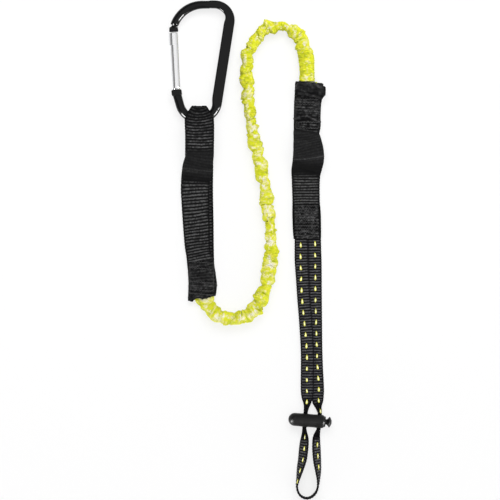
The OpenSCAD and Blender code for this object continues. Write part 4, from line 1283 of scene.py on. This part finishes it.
reach = SPINE_AT - BOTTOM_AT
spine_angle = np.arctan2(reach[1], reach[0]) - np.arccos((BOTTOM_R - SPINE_R) / np.hypot(*reach))
shank_way, gate_way = heading(np.pi / 2 + SHANK_LEAN), heading(np.pi / 2 + GATE_LEAN)
PIVOT = BOTTOM_AT - BOTTOM_R * heading(SHANK_LEAN) + SHANK_LENGTH * shank_way
nose_root = PIVOT + NOSE_FROM_PIVOT * gate_way - NOSE_AT
nose_angle = np.arctan2(nose_root[1], nose_root[0]) % (2 * np.pi)
rod_line = np.vstack([
    [PIVOT - at * shank_way for at in (0.4, 3.0)],
    arc(BOTTOM_AT, BOTTOM_R, np.pi + SHANK_LEAN, 2 * np.pi + spine_angle, 90),
    arc(SPINE_AT, SPINE_R, spine_angle, np.pi / 2, 60),
    arc(NOSE_AT, NOSE_R, np.pi / 2, nose_angle, 60),
    [PIVOT + at * gate_way for at in (50.9, 50.2, 49.4, 46.85)],
])
rod_path = even_steps(np.column_stack([rod_line, np.zeros(len(rod_line))]), 0.3)
rod_run = distance(rod_path)
rod_length = rod_run[-1]
print("rod length in mm:", round(rod_length, 1))


# %% A bar whose section changes
def eased_table(run, *rows):
    """A table read along a piece with eased steps: pairs of a place and a value."""
    places, heights = np.array(rows, float).T
    i = np.clip(np.searchsorted(places, run) - 1, 0, len(places) - 2)
    t = (run - places[i]) / (places[i + 1] - places[i])
    return heights[i] + (heights[i + 1] - heights[i]) * ease(t)


def rod_at(spot):
    """Distance along the rod where its centre line comes nearest to a spot."""
    return rod_run[np.argmin(np.linalg.norm(rod_path[:, :2] - spot, axis=1))]


def swept_bar(path, width, height, power, inward, count=40):
    """Rings of a superellipse across the path, clockwise as seen along it: centre + right x half the width x
    cosine + up x half the height x sine, each raised to 2 over the power with its sign kept. Power 2 is
    round, and a higher power has flatter sides."""
    angle = np.linspace(0, 2 * np.pi, count, endpoint=False)[None, :]
    width, height, power, inward = (np.atleast_1d(value)[:, None] for value in (width, height, power, inward))
    side = np.sign(np.cos(angle)) * np.abs(np.cos(angle)) ** (2 / power) * width / 2
    lift = -np.sign(np.sin(angle)) * np.abs(np.sin(angle)) ** (2 / power) * height / 2
    right, up = plan_frame(path)
    centre = path[:, :3] - right * inward
    return centre[:, None] + right[:, None] * side[..., None] + up[:, None] * lift[..., None]


# %% Sections along the rod
flat_from = rod_at(BOTTOM_AT + BOTTOM_R * heading(spine_angle))
flat_to = rod_at(SPINE_AT + SPINE_R * heading(spine_angle))
far_middle = rod_at(FAR_MIDDLE)
rod_width = eased_table(
    rod_run, (0, 6.7), (8, 6.5), (flat_from - 9, 6.5), (flat_from + 5, 8.06), (flat_to - 2, 8.06),
    (flat_to + 9, 6.5), (far_middle, 6.0), (far_middle + 16, 6.5), (rod_length - 7.0, 6.3),
    (rod_length - 5.2, 5.9),
    (rod_length - 4.7, 3.3), (rod_length - 4.1, 3.3), (rod_length - HAMMER_LENGTH, 6.6),
    (rod_length - 0.5, 6.9),
    (rod_length, 6.3),
)
rod_height = eased_table(
    rod_run, (0, 5.9), (3, 5.9), (8, 6.4), (flat_from - 6, 6.4), (flat_from + 4, 5.2), (flat_to - 2, 5.2),
    (flat_to + 8, 6.4), (rod_length - 6.5, 6.3), (rod_length - 4.5, 4.3), (rod_length - 2.6, 2.5),
    (rod_length, 2.4),
)
rod_power = eased_table(
    rod_run, (0, 2.4), (6, 2), (flat_from - 5, 2), (flat_from + 4, 5.5), (flat_to - 1, 5.5), (flat_to + 22, 3.6),
    (flat_to + 30, 2), (rod_length - 4, 2), (rod_length - 2.4, 5), (rod_length, 5),
)
widened_inwards = (rod_width - 6.45) / 2 * (rod_run > 12) * (rod_run < far_middle)
rod_points = swept_bar(rod_path, rod_width, rod_height, rod_power, widened_inwards)
print("rod rings:", len(rod_points))


# %% Flat plates
CORNER_STEPS = 9


def plate(outline, heights, insets):
    """A flat plate with rounded rims: its outline shrunk towards its middle, ring by ring from the bottom up."""
    middle = outline.mean(axis=0)
    spread = outline - middle
    reach = np.hypot(*spread.T)[:, None]
    rings = [middle + spread * (1 - inset / reach) for inset in insets]
    return np.stack([np.column_stack([ring, np.full(len(ring), z)]) for ring, z in zip(rings, heights)])


def rounded_box(centre, way, half_width, low, high, corner):
    """Outline of a rectangle with round corners, from low to high along the way."""
    right = np.array([way[1], -way[0]])
    rows = []
    for quarter_turn, (side, end) in enumerate([(1, high), (-1, high), (-1, low), (1, low)]):
        turn = np.radians(np.linspace(90 * quarter_turn, 90 * quarter_turn + 90, CORNER_STEPS))
        x = side * (half_width - corner) + corner * np.cos(turn)
        y = end - np.sign(end - (low + high) / 2) * corner + corner * np.sin(turn)
        rows.append(centre + x[:, None] * right + y[:, None] * way)
    return np.vstack(rows)


# %% Cheeks of the fork
CHEEK_WAY = heading(np.pi / 2 + np.radians(6))
CHEEK_LOW, CHEEK_HIGH, CHEEK_HALF_WIDTH = -1.6, 3.05, 3.9
CHEEK_STEPS = 72
CHEEK_HEIGHTS = np.array([1.35, 1.4, 1.6, 3.0, 3.4, 3.55, 3.62])
CHEEK_INSETS = np.array([0.35, 0.1, 0.0, 0.0, 0.1, 0.35, 0.7])


def crowned(outline):
    """The cheek's outline in even steps. Its top edge is an arch, 0.028 mm lower per square millimetre of
    distance from the middle, so that the gate's foot can turn past it."""
    loop = np.vstack([outline, outline[:1]]) - PIVOT
    run = distance(loop)
    even = np.linspace(0, run[-1], CHEEK_STEPS, endpoint=False)
    loop = np.column_stack([np.interp(even, run, column) for column in loop.T])
    side, up = loop @ np.array([CHEEK_WAY[1], -CHEEK_WAY[0]]), loop @ CHEEK_WAY
    rise = (0.10 - 0.028 * side**2) * np.clip(up / CHEEK_HIGH, 0, 1)
    return PIVOT + loop + rise[:, None] * CHEEK_WAY


cheek = crowned(rounded_box(PIVOT, CHEEK_WAY, CHEEK_HALF_WIDTH, CHEEK_LOW, CHEEK_HIGH, 0.9))
cheek_up = plate(cheek, CHEEK_HEIGHTS, CHEEK_INSETS)
cheek_down = plate(cheek, -CHEEK_HEIGHTS[::-1], CHEEK_INSETS[::-1])
body_parts = [(part + RING_CENTRE) * MM for part in (rod_points, cheek_up, cheek_down)]
carabiner_rod = joined_grids("carabiner_rod", body_parts, 38)
dress(carabiner_rod, "carabiner", "black_anodised", anodised, "carabiner_body")


# %% Gate
def half_round(radius, level):
    """The part of a circle above a level, closed by its chord, clockwise as seen along the gate."""
    edge = np.arcsin(level / radius)
    round_it = radius * heading(np.linspace(np.pi - edge, edge, 13))
    chord = np.linspace(1, -1, 5)[1:-1] * radius * np.cos(edge)
    return np.column_stack([round_it, [chord, np.full(3, level)]])


HEAD_SHIFT = 0.36
GATE_FLATNESS = 0.96
HEAD_FROM = 36.705
LATCH_SLOT_HALF = 1.35
# Distance from the pivot and radius, along the bar and along its two prongs.
BAR_ROWS = np.array([
    (3.45, 2.95), (3.65, 3.18), (4.1, 3.3), (6.2, 3.34), (12.0, 3.38), (24.0, 3.48), (33.0, 3.56),
    (36.70, 3.60),
    (36.71, 3.98), (40.0, 4.0), (42.2, 4.02),
])
PRONG_ROWS = (42.2, 4.02), (44.0, 4.02), (45.6, 4.0), (46.1, 3.9), (46.3, 3.7)
# Place across the foot, and how far from the pivot the foot ends there.
FOOT_SIDES = -3.3, -2.2, -1.3, 0.0, 0.5, 1.5, 2.2, 3.4
FOOT_ENDS = 2.92, 3.08, 3.18, 3.66, 3.86, 4.22, 4.42, 4.42


def gate_parts():
    """A bar that tapers from its head to its foot, two prongs with the latch slot between them, and the
    tongue in the fork. Each is a grid along the gate."""
    u, radius = BAR_ROWS.T
    path = np.column_stack([PIVOT + u[:, None] * gate_way, np.zeros(len(u))])
    bar = swept_bar(path, 2 * radius, 2 * radius * GATE_FLATNESS, 2.0, np.where(u > HEAD_FROM, HEAD_SHIFT, 0), 48)
    right, way = np.array([gate_way[1], -gate_way[0], 0]), np.append(gate_way, 0)
    side = (bar[:3] - path[:3, None]) @ right
    bar[:3] += (np.interp(side, FOOT_SIDES, FOOT_ENDS) - u[0])[..., None] * way
    prongs = []
    for side in (1, -1):
        rings = []
        for at, radius in PRONG_ROWS:
            x, z = half_round(radius, LATCH_SLOT_HALF)
            ring = np.append(PIVOT, 0) + at * way + (x - HEAD_SHIFT)[:, None] * right
            ring[:, 2] += side * GATE_FLATNESS * z
            rings.append(ring[::side])
        prongs.append(np.stack(rings))
    tongue = plate(rounded_box(PIVOT, gate_way, 2.1, -2.0, 5.0, 1.9), [-1.28, -1.2, 1.2, 1.28], [0.1, 0, 0, 0.1])
    return [bar, *prongs, tongue]


gate_bar = joined_grids("gate_bar", [(part + RING_CENTRE) * MM for part in gate_parts()], 38)
dress(gate_bar, "gate", "polished_gate", bright_gate, "carabiner_gate")

# %% [markdown]
# ## Cord lock
#
# The barrel is a moulded capsule, round at its closed end and chamfered at its mouth. The plunger's head
# is a mushroom with a waist behind it, for the thumb. Both are turned: one profile of places along the
# axis and radii, spun as an array of rings.

# %% Barrel and plunger
def turned(profile, step=0.35, count=56):
    """Rings round the lock's axis from rows of place along it and radius, in mm."""
    rows = even_steps(np.column_stack([profile, np.zeros(len(profile))]), step)
    angle = np.linspace(0, 2 * np.pi, count, endpoint=False)[None, :, None]
    rings = np.cos(angle) * LOCK_SIDE + np.sin(angle) * np.array([0, 0, 1.0])
    return ((LOCK_AT + rows[:, :1] * LOCK_AXIS)[:, None] + rings * rows[:, 1][:, None, None]) * MM


quarter = np.linspace(0, np.pi / 2, 12)
barrel_profile = np.vstack([
    np.column_stack([-13.2 - 4.9 * np.cos(quarter), 0.02 + 4.93 * np.sin(quarter)]),
    [(-6, 5.0), (4, 4.98), (8, 4.9), (8.5, 4.75), (9.1, 4.2), (9.5, 4.05), (10.1, 3.95), (10.2, 3.7), (10.2, 0.1)],
])
head_profile = np.array([
    (9.2, 0.05), (9.2, 2.1), (10.9, 2.05), (11.4, 2.2), (12.2, 3.1), (12.9, 4.05), (13.15, 4.15), (13.4, 4.05),
    (14.0, 3.1), (14.6, 1.9), (14.86, 1.2), (14.9, 0.05),
])
barrel_points = turned(barrel_profile)
# Low lips stand round the barrel's two slots, where the strands of the loop pass.
from_middle = barrel_points / MM - LOCK_AT
lips = sum(bell(from_middle @ LOCK_AXIS - at, 2.0) for at in (-STRAND_AT, STRAND_AT))
at_slot = np.abs(from_middle @ LOCK_SIDE) > 4
barrel_points[..., 1] += 0.35 * MM * lips * np.sign(from_middle[..., 1]) * at_slot
dress(closed_grid("lock_barrel", barrel_points, 50), "cord_lock", "lock_plastic", nylon, "cord_lock_barrel")
plunger_head = closed_grid("lock_plunger_head", turned(head_profile, 0.2, 48), 45)
dress(plunger_head, "plunger", "lock_plastic", nylon, "cord_lock_plunger")

# %% [markdown]
# ## Light, table and backdrop
#
# The photograph is a cut-out on white. The table is a pale floor that still takes the object's shadow: a
# white diffuse surface, mixed with a plain white of strength 1 for the rays that the camera, a mirror or
# a glass sees. A broad soft light hangs over the far end. Two lamps for gloss alone draw the bright
# crescents on the rod, two low ones light the sides, and the sky is pale with one dark flag.

# %% Table
TABLE_HALF = 4.0
WHITE = (1, 1, 1, 1)


def white_table():
    """A large plane at height 0 with a diffuse white that is lifted to pure white for the camera."""
    points = TABLE_HALF * np.array([[-1, -1, 0], [1, -1, 0], [1, 1, 0], [-1, 1, 0]])
    table = make_mesh("table", points, [[0, 1, 2, 3]])
    material = bpy.data.materials.new("table_white")
    material.use_nodes = True
    tree = material.node_tree
    tree.nodes.clear()
    diffuse = add_node(tree, "ShaderNodeBsdfDiffuse", [(0.95, 0.95, 0.95, 1)])
    plain = add_node(tree, "ShaderNodeEmission", [WHITE, 1.0])
    rays = add_node(tree, "ShaderNodeLightPath").outputs
    seen = Signal(rays["Is Camera Ray"]).calculate("MAXIMUM", rays["Is Glossy Ray"])
    share = seen.calculate("MAXIMUM", rays["Is Transmission Ray"]) * 0.75
    mix = add_node(tree, "ShaderNodeMixShader", [share, diffuse.outputs[0], plain.outputs[0]])
    add_node(tree, "ShaderNodeOutputMaterial", [mix.outputs[0]])
    table.data.materials.append(material)
    return table


table = white_table()


# %% Sky
SKY_LEVEL = 0.95
FLAG_TILT, FLAG_EDGE, FLAG_END = np.radians([40, 7, 11])


def studio_sky():
    """A pale sky for lighting, with one dark flag: a strip as long as the room, 40 degrees left of overhead.
    A polished bar that runs along the table shows it as a dark line. Where the camera looks past the
    table, the backdrop is pure white."""
    world = bpy.data.worlds.new("studio_sky")
    world.use_nodes = True
    tree = world.node_tree
    tree.nodes.clear()
    way = Signal(add_node(tree, "ShaderNodeTexCoord").outputs["Generated"])
    eastward, upward = part_of(way, 0), part_of(way, 2)
    tilt = (eastward * -1.0).calculate("ARCTAN2", upward)
    off_flag = tilt.calculate("SUBTRACT", FLAG_TILT).calculate("ABSOLUTE")
    open_sky = off_flag.spread(FLAG_EDGE, FLAG_END, 0.05, 1.0)
    bright = upward.spread(0.70, 0.88, 0.42, 1.0) + eastward.spread(0.0, 0.5, 0.0, 0.35)
    low = upward.spread(0.0, 0.3, 0.6, 1.0) * SKY_LEVEL
    light = add_node(tree, "ShaderNodeBackground", [WHITE, open_sky * bright.calculate("MINIMUM", 1.0) * low])
    white = add_node(tree, "ShaderNodeBackground", [WHITE, 1.0])
    seen = add_node(tree, "ShaderNodeLightPath").outputs["Is Camera Ray"]
    mix = add_node(tree, "ShaderNodeMixShader", [seen, light.outputs[0], white.outputs[0]])
    add_node(tree, "ShaderNodeOutputWorld", [mix.outputs[0]])
    bpy.context.scene.world = world


studio_sky()


# %% Lamps
def soft_lamp(name, azimuth, elevation, reach, size, power, diffuse=True, glossy=True):
    """A rectangular area lamp on a sphere round the object, turned towards its middle. It may be left out of
    the light on matte surfaces, or out of the gloss."""
    turn, rise = np.radians([azimuth, elevation])
    place = reach * np.array([np.cos(turn) * np.cos(rise), np.sin(turn) * np.cos(rise), np.sin(rise)])
    data = bpy.data.lights.new(name, "AREA")
    data.shape = "RECTANGLE"
    data.size, data.size_y = size
    data.energy = power
    lamp = bpy.data.objects.new(name, data)
    lamp.location = place
    lamp.visible_camera, lamp.visible_diffuse, lamp.visible_glossy = False, diffuse, glossy
    lamp.rotation_euler = (-Vector(place)).to_track_quat("-Z", "Y").to_euler()
    bpy.context.scene.collection.objects.link(lamp)


STRIP, LOW_BOX = (0.36, 0.62), (0.6, 0.16)
soft_lamp("far_softbox", 90, 50, 1.2, (1.1, 0.5), 9.0, glossy=False)
soft_lamp("left_strip", 219, 25, 1.3, STRIP, 46.0, diffuse=False)
soft_lamp("right_strip", 330, 25, 1.3, STRIP, 46.0, diffuse=False)
soft_lamp("front_left_softbox", 222, 4, 1.3, LOW_BOX, 7.0)
soft_lamp("front_right_softbox", 318, 4, 1.3, LOW_BOX, 7.0)
bpy.context.scene.view_settings.view_transform = "Standard"

# %% [markdown]
# ## Checking against the photograph
#
# The image points are compared with the finished vertices that show from the camera. A vertex shows when
# the first thing that a ray from the camera meets on its way is the vertex itself. A side or a corner is
# the vertex that lies farthest in one direction of the image. A small piece's point is its middle.

# %% Vertices that show
depsgraph = bpy.context.evaluated_depsgraph_get()
depsgraph.update()
SEEN_WITHIN = 0.3 * MM
CANDIDATES = 3000


def vertices_of(name):
    """All finished vertices of a piece, in metres."""
    mesh = bpy.data.objects[name].evaluated_get(depsgraph).data
    flat = np.empty(3 * len(mesh.vertices), np.float32)
    mesh.vertices.foreach_get("co", flat)
    return flat.reshape(-1, 3)


def in_view(points):
    """Which points can be seen: the first hit on the way from the camera lies within 0.3 mm of the point."""
    eye = camera.matrix_world.translation
    seen = []
    for point in points:
        way = Vector([float(v) for v in point]) - eye
        hit, spot = bpy.context.scene.ray_cast(depsgraph, eye, way.normalized())[:2]
        seen.append(hit and (spot - eye).length > way.length - SEEN_WITHIN)
    return np.array(seen, bool)


def middle_of(pixels):
    """Middle of the box round some pixels."""
    return (pixels.min(axis=0) + pixels.max(axis=0)) / 2


def farthest(spots, direction, band=0.0):
    """Middle of the vertices that show within a band of pixels of the farthest one in an image direction."""
    pixels = to_pixels(spots)
    direction = unit(np.array([direction], float))[0]
    order = np.argsort(-(pixels @ direction))[:CANDIDATES]
    pixels = pixels[order][in_view(spots[order])]
    reach = pixels @ direction
    return middle_of(pixels[reach >= reach.max() - band])


def middle(spots):
    """Middle of what shows of a small piece, or of one stretch of a piece."""
    return middle_of(to_pixels(spots[in_view(spots)]))


def first_stitches(name):
    """Middle of what shows of a seam's first row."""
    return middle(vertices_of(name)[:first_row[name]])


def dash(name, number=0):
    """Middle of what shows of one dash of a row."""
    size = DASH_RINGS * DASH_SIDES
    return middle(vertices_of(name)[number * size:(number + 1) * size])


# %% Image points measured
shown_pieces = [
    piece.name for piece in bpy.data.objects
    if piece.type == "MESH" and not piece.hide_render and piece is not table
]
everything = np.vstack([vertices_of(name) for name in shown_pieces])
rod, gate, strap, cuff = (
    vertices_of(name) for name in ("carabiner_rod", "gate_bar", "carabiner_webbing", "tool_strap_hem_web")
)
hammer_rows = np.repeat(rod_run > rod_length - HAMMER_LENGTH, rod_points.shape[1])
sewn_end = strap[strap[:, 1] < -30 * MM]
measured = {
    "left_side": farthest(everything, (-1, 0)),
    "right_side": farthest(everything, (1, 0)),
    "top_side": farthest(everything, (0, -1)),
    "bottom_side": farthest(everything, (0, 1)),
    "nose_head": middle(rod[:len(hammer_rows)][hammer_rows]),
    "gate_foot": farthest(gate, (0, 1), 1.5),
    "strap_fold_middle": farthest(strap, (0, -1), 1.0),
    "strap_end_left_corner": farthest(sewn_end, (-1, 1)),
    "strap_end_right_corner": farthest(sewn_end, (1, 1)),
    "cuff_left_corner": farthest(cuff, (-1, -0.7)),
    "cuff_right_corner": farthest(cuff, (1, -0.7)),
    "first_left_dash": dash("tracer_dashes_left"),
    "first_right_dash": dash("tracer_dashes_right"),
    "first_loop_dash": dash("tracer_dashes_bight"),
    "far_loop_dash": dash("tracer_dashes_bight", 5),
    "lock_left_end": farthest(vertices_of("lock_barrel"), (-1, 0), 0.3),
    "button_tip": farthest(vertices_of("lock_plunger_head"), (1, 0), 0.3),
    "first_strap_seam": first_stitches("carabiner_strap_seam"),
    "first_box_row": first_stitches("tool_strap_box_seam"),
    "first_tack_row": first_stitches("tool_strap_tacks"),
}
for key, point in PHOTO_POINTS.items():
    [None if at is None else round(float(found - at), 2) for found, at in zip(measured[key], point)]
